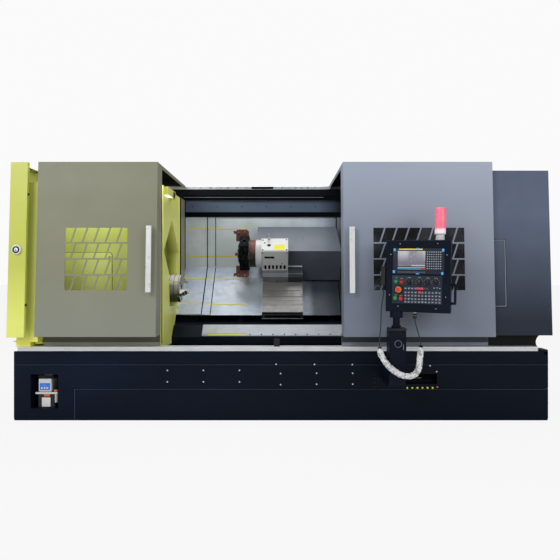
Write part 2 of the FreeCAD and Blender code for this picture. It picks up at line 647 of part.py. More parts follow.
# ------------------------------------------------------------------ carriage and turret
def saddle():
    body = bed_box(*SADDLE_X, *SADDLE_U, SADDLE_UNDER_N, SADDLE_TOP_N)
    legs = []
    for x0, x1 in SADDLE_BLOCKS:
        for u in GUIDE_U:
            legs.append(bed_box(x0, x1, u - BLOCK_HALF_U, u + BLOCK_HALF_U, BLOCK_FOOT_N, SADDLE_UNDER_N))
    nut = bed_box(-30, 60, SCREW_U - 40, SCREW_U + 40, -85.0, SADDLE_UNDER_N)
    body = body.fuse(legs + [nut, cover_plate(*WING_X, WING_N, MOVING_TOP)])
    half = GUIDE_WIDTH / 2 + RUN_GAP
    rails = [bed_box(SADDLE_X[0] - 1, SADDLE_X[1] + 1, u - half, u + half, BED_FACE_N, GUIDE_TOP_N + RUN_GAP)
             for u in GUIDE_U]
    y, z = on_bed(SCREW_U, SCREW_N)
    bore = cylinder(V(SADDLE_X[0], y, z), V(SADDLE_X[1], y, z), SCREW_R + FIT_GAP)
    key_way = bed_box(SLIDE_KEY[0] - RUN_GAP, SLIDE_KEY[1] + RUN_GAP, SADDLE_U[0] - 1, SADDLE_U[1] - 30,
                      SADDLE_TOP_N - KEY_DEPTH - RUN_GAP, SADDLE_TOP_N + 1)
    body = body.cut(rails + [bore, key_way])
    u0, u1 = SLAT_ENDS[3]
    skirt_u = SADDLE_U[1]
    lip = bed_box(*SADDLE_X, u0, u1, SADDLE_TOP_N, SADDLE_TOP_N + SLAT)
    apron = bed_box(*SADDLE_X, u1 - SLAT, u1, 6.0, SADDLE_TOP_N)
    tie = bed_box(*SADDLE_X, skirt_u, u1 - SLAT, 6.0, 6.0 + SLAT)
    return fuse(body, lip, apron, tie)


def x_slat(index):
    """One plate of the telescopic cover on the cross slide; 0 is the uppermost."""
    u0, u1 = SLAT_ENDS[index]
    n0 = SADDLE_TOP_N + (3 - index) * SLAT_STEP
    plate = bed_box(*SADDLE_X, u0, u1, n0, n0 + SLAT)
    lip = bed_box(*SADDLE_X, u1 - 4.0, u1, n0 - SLAT_STEP + SLAT + RUN_GAP, n0)
    grooves = [bed_box(SADDLE_X[0] - 1, SADDLE_X[1] + 1, u - 2.0, u + 2.0, n0 + SLAT - 1.2, n0 + SLAT + 1)
               for u in SLAT_GROOVES[index]]
    return plate.fuse(lip).cut(grooves)


def turret_housing():
    x0, x1 = HOUSING_X
    u0, u1 = HOUSING_U
    hood_n = SADDLE_TOP_N + 4 * SLAT_STEP + SLAT
    block = bed_box(x0, x1, u0, u1, FOOT_TOP_N, HOUSING_N)
    front = on_bed(u1, HOUSING_N)[0] + 2
    block = block.makeChamfer(9.0, [edge for edge in block.Edges
                                    if edge.BoundBox.XLength > 200 and edge.BoundBox.YMin < front])
    foot = section_bed([(FOOT_U[0], SADDLE_TOP_N + RUN_GAP), (FOOT_CONTACT_U, SADDLE_TOP_N + RUN_GAP),
                        (FOOT_CONTACT_U, hood_n), (FOOT_U[1], hood_n), (FOOT_U[1], FOOT_TOP_N - 20),
                        (FOOT_U[1] - 20, FOOT_TOP_N), (FOOT_U[0], FOOT_TOP_N)], *SADDLE_X)
    key = bed_box(*SLIDE_KEY, FOOT_U[0], FOOT_CONTACT_U, SADDLE_TOP_N - KEY_DEPTH, SADDLE_TOP_N + RUN_GAP)
    barrel = cylinder(V(RING_X, TURRET_Y, TURRET_Z), V(x0, TURRET_Y, TURRET_Z), RING_R)
    flange = cylinder(V(FLANGE_X, TURRET_Y, TURRET_Z), V(x0 + 1, TURRET_Y, TURRET_Z), FLANGE_R)
    flange = flange.makeChamfer(4.0, [edge for edge in flange.Edges if edge.BoundBox.XMax < FLANGE_X + 1
                                      and len(edge.Vertexes) == 1])
    shape = block.fuse([foot, key, barrel, flange])
    port_pitch = 37.0
    slots = []
    for step in range(6):
        x = x0 + 36 + step * port_pitch
        long_y0, long_z0 = on_bed(u1, FOOT_TOP_N + 30)
        start = V(x, long_y0, long_z0) + V(0, -1, -1).normalize() * 2
        end = start + V(0, 1, 1).normalize() * 14
        up = V(0, -1, 1).normalize() * 20
        slots.append(cylinder(start, end, 9.5))
        slots.append(cylinder(start + up, end + up, 9.5))
    bore = cylinder(V(RING_X - 1, TURRET_Y, TURRET_Z), V(RING_X + TURRET_SHAFT + 1, TURRET_Y, TURRET_Z),
                    TURRET_SHAFT_R + FIT_GAP)
    return shape.cut(slots + [bore])


def station_frame(shape, index):
    shape.rotate(V(0, TURRET_Y, TURRET_Z), V(1, 0, 0), 360.0 / STATIONS * index)
    return shape


def turret_disc():
    """Eight-sided disc; the holes of the stations that carry a holder are filled by its bolts."""
    corner = DISC_APOTHEM / math.cos(math.pi / STATIONS)
    x0, x1 = DISC_X[0], DISC_X[1] - RUN_GAP
    points = []
    for index in range(STATIONS):
        angle = math.pi / STATIONS * (2 * index + 1)
        points.append(V(x0, TURRET_Y + corner * math.cos(angle), TURRET_Z + corner * math.sin(angle)))
    disc = face(points).extrude(V(x1 - x0, 0, 0))
    dome = cone(V(x0 - 16, TURRET_Y, TURRET_Z), V(x0, TURRET_Y, TURRET_Z), 92.0, 118.0)
    shaft = cylinder(V(x1, TURRET_Y, TURRET_Z), V(RING_X + TURRET_SHAFT, TURRET_Y, TURRET_Z), TURRET_SHAFT_R)
    disc = disc.fuse([dome, shaft])
    middle = (x0 + x1) / 2
    half_x, half_y = STATION_SPACING[0] / 2, STATION_SPACING[1] / 2
    holes = []
    for index in sorted(set(range(STATIONS)) - set(HOLDER_STATIONS)):
        top = TURRET_Z + DISC_APOTHEM
        for side_x in (-1, 1):
            for side_y in (-1, 1):
                y = TURRET_Y + side_y * half_y
                x = middle + side_x * half_x
                hole = cylinder(V(x, y, top + 1), V(x, y, top - STATION_DEPTH), STATION_HOLE_R)
                holes.append(station_frame(hole, index))
        socket = cylinder(V(middle, TURRET_Y, top + 1), V(middle, TURRET_Y, top - SOCKET_DEPTH), SOCKET_R)
        holes.append(station_frame(socket, index))
    return disc.cut(holes)


def tool_holder(index, bar):
    """Block bolted on one station, with a square shank tool or a boring bar."""
    x0, x1 = TOOL_X[0], DISC_X[1] - 6
    half = 38.0
    low = TURRET_Z + DISC_APOTHEM
    top = TURRET_Z + TOOL_R
    outline = [V(x0, TURRET_Y - half, low - 45), V(DISC_X[0] - RUN_GAP, TURRET_Y - half, low - 45),
               V(DISC_X[0] - RUN_GAP, TURRET_Y - half, low), V(x1, TURRET_Y - half, low),
               V(x1, TURRET_Y - half, top - 14), V(x1 - 14, TURRET_Y - half, top),
               V(x0 + 10, TURRET_Y - half, top),
               V(x0, TURRET_Y - half, top - 10)]
    block = face(outline).extrude(V(0, 2 * half, 0))
    if bar:
        tool = cylinder(V(x0 - 26, TURRET_Y, top - 30), V(x0, TURRET_Y, top - 30), 14.0)
        tool = tool.fuse(box(x0 - 30, x0 - 16, TURRET_Y - 4, TURRET_Y + 16, top - 30, top - 12))
    else:
        tool = box(x0 - 24, x0, TURRET_Y - 12, TURRET_Y + 12, top - 36, top - 12)
        tool = tool.fuse(box(x0 - 28, x0 - 12, TURRET_Y - 12, TURRET_Y + 6, top - 20, top - 8))
    return station_frame(block.fuse(tool), index)


def tool_holders():
    return Part.makeCompound([tool_holder(index, index == HOLDER_STATIONS[-1]) for index in HOLDER_STATIONS])


def turret_cover():
    top = COVER_TOP_N
    back = [(-45.0, SADDLE_TOP_N + 2), (COVER_BACK_U, top - 50), (COVER_BACK_U, top)]
    left = section_bed(back + [(HOUSING_U[0] - RUN_GAP, top), (HOUSING_U[0] - RUN_GAP, SADDLE_TOP_N + 2)],
                       COVER_X[0], HOUSING_X[1] + RUN_GAP)
    over_foot = FOOT_TOP_N + RUN_GAP
    middle = section_bed(back + [(COVER_RIDGE_U, top), (151.0, over_foot),
                                 (HOUSING_U[0] - RUN_GAP, over_foot),
                                 (HOUSING_U[0] - RUN_GAP, SADDLE_TOP_N + 2)],
                         HOUSING_X[1] + RUN_GAP, SADDLE_X[1] + 4)
    right = section_bed([(3.0, 14.0), (COVER_BACK_U, top - 50), (COVER_BACK_U, top), (COVER_RIDGE_U, top),
                         (198.0, 14.0)],
                        SADDLE_X[1] + 4, COVER_X[1])
    room = cylinder(V(COVER_X[0] - 1, TURRET_Y, TURRET_Z), V(HOUSING_X[0] + 1, TURRET_Y, TURRET_Z),
                    FLANGE_R + RUN_GAP)
    shape = fuse(left, middle, right).cut(room)
    y_top, z_top = on_bed(COVER_BACK_U, top)
    bevel = COVER_BEVEL
    corner = face([V(COVER_X[1] - bevel, y_top + 60, z_top + 60), V(COVER_X[1] + 1, y_top + 60, z_top + 60),
                   V(COVER_X[1] + 1, y_top - 250, z_top - 250)]).extrude(V(0, 160, -160))
    return shape.cut(corner)


# ------------------------------------------------------------------ tailstock
def tailstock():
    lift = RUN_GAP * math.sqrt(2)
    seat = LEDGE_TOP + lift
    y0, y1 = LEDGE_Y
    outline = [(y0, y0 + seat), (y1 - 2, y1 - 2 + seat), (735, 800), (765, 900), (765, 1070), (735, 1125),
               (650, AXIS_Z + 118), (565, 1125), (534, 1070), (520, 900), (532, 700)]
    body = section_x(outline, TAIL_X[0] + 30, TAIL_X[1])
    head = cylinder(V(TAIL_X[0], AXIS_Y, AXIS_Z), V(TAIL_X[1] - 40, AXIS_Y, AXIS_Z), TAIL_HEAD_R)
    bore = cylinder(V(TAIL_X[0] - 1, AXIS_Y, AXIS_Z), V(TAIL_X[1] + 1, AXIS_Y, AXIS_Z), QUILL_R + FIT_GAP)
    return body.fuse(head).cut(bore)


def quill():
    neck = QUILL_X[0] + QUILL_CONE
    bar = cylinder(V(neck, AXIS_Y, AXIS_Z), V(QUILL_X[1], AXIS_Y, AXIS_Z), QUILL_R)
    bar = bar.makeChamfer(4.0, [edge for edge in bar.Edges
                                if len(edge.Vertexes) == 1 and edge.BoundBox.XMax < neck + 1])
    point = cone(V(QUILL_X[0], AXIS_Y, AXIS_Z), V(neck, AXIS_Y, AXIS_Z), 3.0, 36.0)
    return bar.fuse(point)


# ------------------------------------------------------------------ doors
def grille_openings(window, bars, pitch):
    """Openings between the slanted bars of every row of a window grille."""
    x0, x1 = window
    z0, z1 = WINDOW_Z
    row_height = (z1 - z0 - (GRILLE_ROWS - 1) * GRILLE_BAR) / GRILLE_ROWS
    near, far = front_y(z0) - 8, front_y(z1) + 12
    openings = []
    first = (x0 + x1) / 2 - pitch * (bars - 1) / 2
    for row in range(GRILLE_ROWS):
        low = z0 + row * (row_height + GRILLE_BAR)
        high = low + row_height
        room = section_y([(x0, low), (x1, low), (x1, high), (x0, high)], near, far)
        slant = []
        for bar in range(bars):
            middle = first + bar * pitch
            foot = middle - GRILLE_LEAN * row_height / 2
            head = middle + GRILLE_LEAN * row_height / 2
            half = GRILLE_BAR / 2 / math.cos(math.atan(GRILLE_LEAN))
            over = GRILLE_LEAN
            slant.append(section_y([(foot - half - over, low - 1), (foot + half - over, low - 1),
                                    (head + half + over, high + 1), (head - half + over, high + 1)],
                                    near - 1, far + 1))
        openings.append(room.cut(slant))
    return openings


def door_side(x0, x1, depth):
    return section_x([(front_y(DOOR_BOTTOM), DOOR_BOTTOM), (front_y(DOOR_TOP), DOOR_TOP),
                      (front_y(DOOR_TOP, depth), DOOR_TOP), (front_y(DOOR_BOTTOM, depth), DOOR_BOTTOM)],
                      x0, x1)


def door(edges, inner_right, window, bars, pitch):
    """Sheet door with its roof, skirt, wheels and window grille in one welded piece."""
    x0, x1 = edges
    inner = x1 if inner_right else x0
    turn = 1 if inner_right else -1
    front = front_sheet(x0, x1, DOOR_BOTTOM, DOOR_TOP).cut(grille_openings(window, bars, pitch))
    left_depth, right_depth = (OUTER_RETURN, INNER_RETURN) if inner_right else (INNER_RETURN, OUTER_RETURN)
    sides = [door_side(x0, x0 + SHEET, left_depth), door_side(x1 - SHEET, x1, right_depth)]
    bottom = box(x0, x1, front_y(DOOR_BOTTOM), SKIRT_Y + SKIRT_SHEET, DOOR_BOTTOM, DOOR_BOTTOM + SHEET)
    skirt = box(x0, x1, SKIRT_Y, SKIRT_Y + SKIRT_SHEET, RAIL_TOP + 2, DOOR_BOTTOM + SHEET)
    roof = box(x0, x1, front_y(DOOR_TOP), REAR_RAIL_Y[1] + 5, DOOR_TOP, DOOR_TOP + ROOF_SHEET)
    flange = box(min(inner, inner - turn * SHEET), max(inner, inner - turn * SHEET), front_y(DOOR_TOP, 20),
                 REAR_RAIL_Y[0] - 12, DOOR_TOP - ROOF_FLANGE, DOOR_TOP)
    wheels = []
    for x in (x0 + 90, x1 - 90):
        hub = V(x, SKIRT_Y + SKIRT_SHEET, RAIL_TOP + RUN_GAP + WHEEL_R)
        wheels.append(cylinder(hub, hub + V(0, 5, 0), 8.0))
        wheels.append(cylinder(hub + V(0, 5, 0), hub + V(0, 5 + WHEEL_WIDTH, 0), WHEEL_R))
        wheels.append(box(x - 30, x + 30, REAR_RAIL_Y[0] + 8, REAR_RAIL_Y[1] - 8,
                          REAR_RAIL_Z[1] + RUN_GAP, DOOR_TOP))
    return front.fuse(sides + [bottom, skirt, roof, flange] + wheels)


def door_glass(window):
    margin = 16.0
    return front_sheet(window[0] - margin, window[1] + margin, WINDOW_Z[0] - margin, WINDOW_Z[1] + margin,
                       SHEET, GLASS)


def door_handle(x, ends):
    """Flat oval bar that follows the leaning front on two posts."""
    z0, z1 = ends
    half = HANDLE_WIDTH / 2
    bar = front_sheet(x - half, x + half, z0, z1, -HANDLE_PROUD, HANDLE_THICK)
    uprights = [edge for edge in bar.Edges if edge.Length > (z1 - z0) * 0.9]
    bar = bar.makeFillet(8.0, uprights)
    post = 46.0
    posts = [front_sheet(x - half + 9, x + half - 9, z, z + post, -HANDLE_PROUD + HANDLE_THICK - 1,
                         HANDLE_PROUD - HANDLE_THICK + 1) for z in (z0 + 14, z1 - 14 - post)]
    return bar.fuse(posts)


# ------------------------------------------------------------------ enclosure
def door_rails():
    """Lower running rail; its top carries the wheels, with a drip edge at the front."""
    outline = [(0, BASE_TOP), (RAIL_DEPTH, BASE_TOP), (RAIL_DEPTH, RAIL_TOP), (0, RAIL_TOP),
               (0, RAIL_TOP - 14),
               (6, RAIL_TOP - 18), (6, BASE_TOP + 12), (0, BASE_TOP + 8)]
    lower = section_x(outline, *RAIL_X)
    y0, y1 = REAR_RAIL_Y
    z0, z1 = REAR_RAIL_Z
    upper = section_x([(y0, z0), (y1, z0), (y1, z1), (y0 + 4, z1), (y0, z1 - 4)], LEFT_DOOR[0],
                      CABINET_X[0] + 180)
    return Part.makeCompound([lower, upper])


def door_stop():
    top = RAIL_TOP + STOP_HEIGHT
    block = box(*STOP_X, 4, SKIRT_Y - 3, RAIL_TOP, top)
    return block.makeFillet(6.0, [edge for edge in block.Edges if edge.BoundBox.ZMin > top - 1])


def back_wall():
    rear = SWITCH_Y[0]
    outline = [(BEAM_Y, REAR_RAIL_Z[0]), (rear, REAR_RAIL_Z[0]), (rear, BASE_TOP), (BED_BACK_Y, BASE_TOP),
               (BED_BACK_Y, COVER_TOP), (LIP_Y + 6, COVER_TOP), (LIP_Y + 6, COVER_TOP - LIP_DROP),
               (LIP_Y, COVER_TOP - LIP_DROP), (LIP_Y, BEAM_STEP_Z), (BEAM_Y, BEAM_STEP_Z)]
    wall = section_x(outline, WALL_LEFT, HALF_LENGTH)
    groove_z = REAR_RAIL_Z[0] - GROOVE_DROP
    groove = box(WALL_LEFT - 1, HALF_LENGTH + 1, BEAM_Y - 1, BEAM_Y + 3, groove_z, groove_z + GROOVE_WIDTH)
    hinges = []
    for z in END_HINGES:
        pin = cylinder(V(END_COVER_X, END_HINGE_Y, z - 8), V(END_COVER_X, END_HINGE_Y, z + END_KNUCKLE),
                       END_PIN_R)
        ear = box(END_COVER_X - END_PIN_R, WALL_LEFT + 10, END_HINGE_Y - END_PIN_R, rear, z - 8, z - RUN_GAP)
        hinges += [pin, ear]
    return wall.cut(groove).fuse(hinges)


def bulkhead():
    x0, x1 = BULKHEAD_X
    cover_n = COVER_N + PLATE
    lower = on_bed(SLOPE_LENGTH, cover_n)
    rise = on_bed(0, cover_n)[1] - on_bed(0, cover_n)[0]
    fold = (FOLD_Y - cover_n, FOLD_Y - cover_n + rise)
    ledge = LEDGE_TOP - LEDGE_PLATE
    outline = [(GUARD_Y, BASE_TOP), (BED_FRONT_Y, BASE_TOP), (BED_FRONT_Y, BED_FRONT_Y + ledge),
               (LEDGE_FOOT_Y, LEDGE_FOOT_Y + ledge), (700, 700), (778, 781), lower, fold,
               (fold[0], POST_TOP), (LIP_Y, POST_TOP),
               (LIP_Y, GUARD_TOP), (GUARD_Y, GUARD_TOP)]
    wall = section_x(outline, x0, x1)
    post = section_x([(POST_Y, POST_Y + rise), fold, (fold[0], POST_TOP), (LIP_Y, POST_TOP),
                      (LIP_Y, GUARD_TOP),
                      (POST_Y, GUARD_TOP)], x1, x1 + 9)
    front_post = box(x1, x1 + 14, GUARD_Y, GUARD_Y + 40, BASE_TOP, GUARD_TOP)
    inner = face([V(POCKET_BACK[1], y, z) for y, z in POCKET])
    outer = inner.makeOffset2D(POCKET_WALL)
    opening = inner.extrude(V(x1 - POCKET_BACK[1] + 40, 0, 0))
    shroud = outer.extrude(V(x1 - POCKET_BACK[1], 0, 0))
    back = outer.copy()
    back.translate(V(POCKET_BACK[0] - POCKET_BACK[1], 0, 0))
    back = back.extrude(V(POCKET_BACK[1] - POCKET_BACK[0], 0, 0))
    hole = cylinder(V(POCKET_BACK[0] - 1, AXIS_Y, AXIS_Z), V(POCKET_BACK[1] + 1, AXIS_Y, AXIS_Z),
                    POCKET_HOLE_R)
    return wall.fuse([post, front_post, shroud]).cut(opening).fuse(back.cut(hole))


def headstock_guard():
    """Sheet enclosure in front of and over the headstock, with the frame of the end cover."""
    plate = GUARD_PLATE
    low_z = END_COVER_Z[0] - GUARD_SKIRT
    front = box(GUARD_LEFT, BULKHEAD_X[0], GUARD_Y, GUARD_Y + plate, BASE_TOP, GUARD_TOP)
    top = box(GUARD_LEFT, BULKHEAD_X[1], GUARD_Y, BEAM_Y, GUARD_TOP, GUARD_TOP + plate)
    high_z = GUARD_TOP + plate
    strip = front_sheet(END_COVER_X + END_COVER_RETURN + PANEL_SEAM, GUARD_LEFT, low_z, high_z,
                        END_FRAME_SET_BACK)
    low, high = front_y(low_z, END_FRAME_SET_BACK), front_y(high_z, END_FRAME_SET_BACK)
    side = section_x([(low, low_z), (high, high_z), (GUARD_Y + plate, high_z), (GUARD_Y + plate, low_z)],
                     GUARD_LEFT - SHEET, GUARD_LEFT)
    foot = box(END_COVER_X + 12, END_COVER_EDGE - 5, RAIL_DEPTH + 2, GUARD_Y + 60, BASE_TOP, low_z)
    toe = box(END_COVER_X + 12, END_COVER_EDGE - 5, 6, RAIL_DEPTH + 2, RAIL_TOP, low_z)
    shelf = box(END_COVER_X + 12, GUARD_LEFT, low, GUARD_Y + 60, low_z, low_z + SHEET)
    shape = front.fuse([top, strip, side, foot, toe, shelf])
    spot = V(LOCK_X, front_y(LOCK_Z), LOCK_Z)
    keeper = cylinder(spot - FRONT_NORMAL * (END_FRAME_SET_BACK - 8),
                      spot - FRONT_NORMAL * (END_FRAME_SET_BACK + 12),
                      LOCK_BARREL_R + 14)
    return shape.cut(keeper)


def tail_cabinet():
    """Cabinet over the tailstock end, its plinth and the guard beside the work area."""
    x0, x1 = CABINET_X
    z0, z1 = CABINET_Z
    rear = BED_BACK_Y
    case = section_x([(front_y(z0, CABINET_SET_BACK), z0), (front_y(z1, CABINET_SET_BACK), z1), (BEAM_Y, z1),
                      (BEAM_Y, BEAM_STEP_Z), (LIP_Y, BEAM_STEP_Z), (LIP_Y, COVER_TOP - LIP_DROP),
                      (rear, COVER_TOP - LIP_DROP), (rear, z0)], x0, x1)
    plinth = box(x0, x1 - PLINTH_SCOOP, RAIL_DEPTH, rear, BASE_TOP, z0)
    radius = (z0 - BASE_TOP) / 2
    wing = box(x1 - PLINTH_SCOOP, x1, RAIL_DEPTH, rear, BASE_TOP, z0)
    scoop = cylinder(V(x1, RAIL_DEPTH - 1, BASE_TOP + radius), V(x1, rear + 1, BASE_TOP + radius), radius - 6)
    panel = box(TAIL_PANEL_X, x0, GUARD_Y, GUARD_Y + GUARD_PLATE, BASE_TOP, GUARD_TOP)
    top = box(TAIL_PANEL_X, x0, GUARD_Y, BEAM_Y, GUARD_TOP, GUARD_TOP + GUARD_PLATE)
    return fuse(case, plinth, wing.cut(scoop), panel, top)


def end_door():
    x = END_COVER_X
    z0, z1 = END_COVER_Z
    rim = END_COVER_RETURN
    y0, y1 = front_y(z0), front_y(z1)
    rear = END_HINGE_Y - 14
    side = section_x([(y0, z0), (y1, z1), (rear, z1), (rear, z0)], x, x + SHEET)
    front = front_sheet(x, END_COVER_EDGE, z0, z1)
    lips = [box(x, x + rim, y, rear, z, z + SHEET) for y, z in ((y0, z0), (y1, z1 - SHEET))]
    inner = section_x([(y0, z0), (y1, z1), (y1 + 30, z1), (y0 + 30, z0)], END_COVER_EDGE - SHEET,
                      END_COVER_EDGE)
    spot = V(LOCK_X, front_y(LOCK_Z), LOCK_Z)
    hole = cylinder(spot + FRONT_NORMAL * 5, spot - FRONT_NORMAL * 12, LOCK_BARREL_R + FIT_GAP)
    knuckles = []
    for z in END_HINGES:
        knuckles.append(cylinder(V(x, END_HINGE_Y, z), V(x, END_HINGE_Y, z + END_KNUCKLE), END_PIN_R + 5))
        knuckles.append(box(x, x + SHEET, rear - 1, END_HINGE_Y, z, z + END_KNUCKLE))
    pin_bore = cylinder(V(x, END_HINGE_Y, z0), V(x, END_HINGE_Y, z1), END_PIN_R + FIT_GAP)
    inlet = cylinder(V(x - 1, AXIS_Y, AXIS_Z), V(x + SHEET + 1, AXIS_Y, AXIS_Z), BAR_INLET_R)
    return fuse(side, front, *lips, inner).fuse(knuckles).cut([hole, pin_bore, inlet])


def end_door_lock():
    spot = V(LOCK_X, front_y(LOCK_Z), LOCK_Z)
    knob = cylinder(spot + FRONT_NORMAL * RUN_GAP, spot + FRONT_NORMAL * 14, LOCK_R)
    knob = knob.makeChamfer(3.0, [edge for edge in knob.Edges if len(edge.Vertexes) == 1
                                  and edge.CenterOfMass.y < (spot + FRONT_NORMAL * 10).y])
    slot = box(LOCK_X - 24, LOCK_X + 24, spot.y - 30, spot.y - 10, LOCK_Z - 4, LOCK_Z + 4)
    barrel = cylinder(spot + FRONT_NORMAL, spot - FRONT_NORMAL * 30, LOCK_BARREL_R)
    tongue = box(LOCK_X - 9, LOCK_X + 9, spot.y + 25, spot.y + 30, LOCK_Z - 50, LOCK_Z + 8)
    return knob.cut(slot).fuse([barrel, tongue])


def electric_cabinet():
    wall = SHEET
    x0, x1 = SWITCH_X
    y0, y1 = SWITCH_Y
    z0, z1 = SWITCH_Z
    shell = box(x0, x1, y0, y1, z0, z1).cut(box(x0 + wall, x1 - wall, y0 + wall, y1 + 1, z0 + wall,
                                                z1 - wall))
    width = 150.0
    drives = [box(x0 + 90 + step * 205, x0 + 90 + step * 205 + width, y0 + wall, y0 + 110, z0 + 620,
                  z0 + 1080)
              for step in range(4)]
    gear = box(x0 + 90, x1 - 90, y0 + wall, y0 + 80, z0 + 260, z0 + 420)
    pins = [cylinder(V(x1 + 14, y1 + 8, z), V(x1 + 14, y1 + 8, z + 100), 6.0) for z in (z0 + 140, z1 - 260)]
    ears = []
    for z in (z0 + 140, z1 - 260):
        ears.append(box(x1, x1 + 20, y1 - 40, y1 - 2, z, z + 8))
        ears.append(box(x1 + 5, x1 + 20, y1 - 2, y1 + 14, z, z + 8))
    return shell.fuse(drives + [gear] + pins + ears)


def cabinet_door():
    x0, x1 = SWITCH_X
    y1 = SWITCH_Y[1] + RUN_GAP
    z0, z1 = SWITCH_Z
    z0 += 6
    skin = SHEET
    tray = box(x0, x1, y1, y1 + SWITCH_DOOR, z0, z1).cut(
        box(x0 + skin, x1 - skin, y1 - 1, y1 + SWITCH_DOOR - skin, z0 + skin, z1 - skin))
    knuckles = []
    for z in (SWITCH_Z[0] + 150, SWITCH_Z[1] - 250):
        hinge = V(x1 + 14, SWITCH_Y[1] + 8, z)
        sleeve = cylinder(hinge, hinge + V(0, 0, 70), 11.0)
        arm = box(x1 - 1, x1 + 14, hinge.y - 4, hinge.y + 4, z, z + 70)
        knuckles.append(sleeve.fuse(arm).cut(cylinder(hinge - V(0, 0, 1), hinge + V(0, 0, 71),
                                                      6.0 + FIT_GAP)))
    latch_z = (z0 + z1) / 2
    latch = box(x0 + 40, x0 + 75, y1 + SWITCH_DOOR, y1 + SWITCH_DOOR + 24, latch_z - 70, latch_z + 70)
    return tray.fuse(knuckles + [latch])


def work_lamp():
    return box(BULKHEAD_X[1], BULKHEAD_X[1] + 42, 180, 500, GUARD_TOP - 70, GUARD_TOP - 12)


# ------------------------------------------------------------------ pendant and its lead
def in_case(shape):
    """Move a shape drawn with the middle of the case front at the origin to its place."""
    turn = FreeCAD.Rotation(V(0, 0, 1), CASE_YAW).multiply(FreeCAD.Rotation(V(0, 1, 0), CASE_ROLL))
    shape.Placement = FreeCAD.Placement(CASE_CENTRE, turn).multiply(shape.Placement)
    return shape


def pendant_column():
    half = COLUMN_WIDTH / 2
    front = COLUMN_Y - COLUMN_THICK / 2
    back = COLUMN_Y + COLUMN_THICK / 2
    outline = [(0, COLUMN_BOTTOM + 6), (0, 500), (-150, 520), (back, 566), (back, COLUMN_TOP - 60),
               (back - 12, COLUMN_TOP),
               (front + 12, COLUMN_TOP), (front, COLUMN_TOP - 60), (front, COLUMN_BOTTOM + 60),
               (front + 40, COLUMN_BOTTOM)]
    column = section_x(outline, COLUMN_X - half, COLUMN_X + half)
    socket = cylinder(V(COLUMN_X, COLUMN_Y, COLUMN_TOP - TUBE_SOCKET), V(COLUMN_X, COLUMN_Y, COLUMN_TOP + 1),
                      TUBE_R + FIT_GAP)
    return column.cut(socket)


def pendant_case():
    half = CASE_WIDTH / 2
    tall = CASE_HEIGHT / 2
    case = box(-half, half, 0, CASE_DEPTH, -tall, tall)
    case = case.makeFillet(CASE_ROUND, [edge for edge in case.Edges if edge.BoundBox.YMax < 1])
    display = box(*DISPLAY[:2], -1, 2.5, *DISPLAY[2:])
    panel = box(*KEY_PANEL[:2], -1, 2.0, *KEY_PANEL[2:])
    case = case.cut([display, panel])
    holes = [cylinder(V(x, -1, z), V(x, 14, z), 7.0 + FIT_GAP) for x, z in PUSH_SPOTS]
    holes.append(cylinder(V(ESTOP_SPOT[0], -1, ESTOP_SPOT[1]), V(ESTOP_SPOT[0], 30, ESTOP_SPOT[1]),
                          11.0 + FIT_GAP))
    holes.append(cylinder(V(KNOB_SPOTS[1][0], -1, KNOB_SPOTS[1][1]),
                          V(KNOB_SPOTS[1][0], 16, KNOB_SPOTS[1][1]), 4.0 + FIT_GAP))
    fixed = [cylinder(V(x, 2, z), V(x, -18, z), 15.0)
             for x, z in (KNOB_SPOTS[0], KNOB_SPOTS[2], KNOB_SPOTS[3])]
    fixed += [cylinder(V(x, 2, z), V(x, -12, z), 14.0) for x, z in FIXED_BUTTONS]
    guard = tube(V(ESTOP_SPOT[0], 2, ESTOP_SPOT[1]), V(ESTOP_SPOT[0], -4, ESTOP_SPOT[1]), 29.0, 14.0)
    rims = [tube(V(x, 2, z), V(x, -5, z), 17.0, 12.5) for x, z in PUSH_SPOTS]
    case = case.cut(holes).fuse(fixed + [guard] + rims)
    pads = [box(HAND_UNIT[1], -half, 20, 70, 30, 60)]
    case = in_case(case.fuse(pads))
    low = CASE_CENTRE.z - tall
    stem = cylinder(V(COLUMN_X, COLUMN_Y, COLUMN_TOP - TUBE_SOCKET + 1), V(COLUMN_X, COLUMN_Y, low + 30),
                    TUBE_R)
    flange = cylinder(V(COLUMN_X, COLUMN_Y, low - 44), V(COLUMN_X, COLUMN_Y, low + 12), 48.0)
    collar = cylinder(V(COLUMN_X, COLUMN_Y, COLUMN_TOP + RUN_GAP), V(COLUMN_X, COLUMN_Y, COLUMN_TOP + 18),
                      36.0)
    plug_top = V(LEAD_PLUG.x, LEAD_PLUG.y, low + 20)
    plug = cylinder(LEAD_PLUG, plug_top, 12.0)
    nut = cylinder(LEAD_PLUG + V(0, 0, 6), LEAD_PLUG + V(0, 0, 20), 15.0)
    return case.fuse([stem, flange, collar, plug, nut])


def push_button(spot):
    x, z = spot
    cap = cylinder(V(x, -5, z), V(x, -12, z), 12.0)
    stem = cylinder(V(x, -5, z), V(x, 9, z), 7.0)
    return in_case(cap.fuse(stem))


def estop():
    x, z = ESTOP_SPOT
    head = cylinder(V(x, -14, z), V(x, -30, z), 20.0)
    head = head.makeChamfer(4.0, [edge for edge in head.Edges
                                  if edge.BoundBox.YMax < -29 and len(edge.Vertexes) == 1])
    stem = cylinder(V(x, -14, z), V(x, 20, z), 11.0)
    return in_case(head.fuse(stem))


def feed_knob():
    x, z = KNOB_SPOTS[1]
    skirt = cylinder(V(x, 2 - RUN_GAP, z), V(x, -4, z), 19.0)
    grip = cone(V(x, -4, z), V(x, -22, z), 16.0, 14.0)
    stem = cylinder(V(x, 1, z), V(x, 14, z), 4.0)
    notch = box(x - 1.5, x + 1.5, -23, -19, z, z + 18)
    return in_case(fuse(skirt, grip, stem).cut(notch))


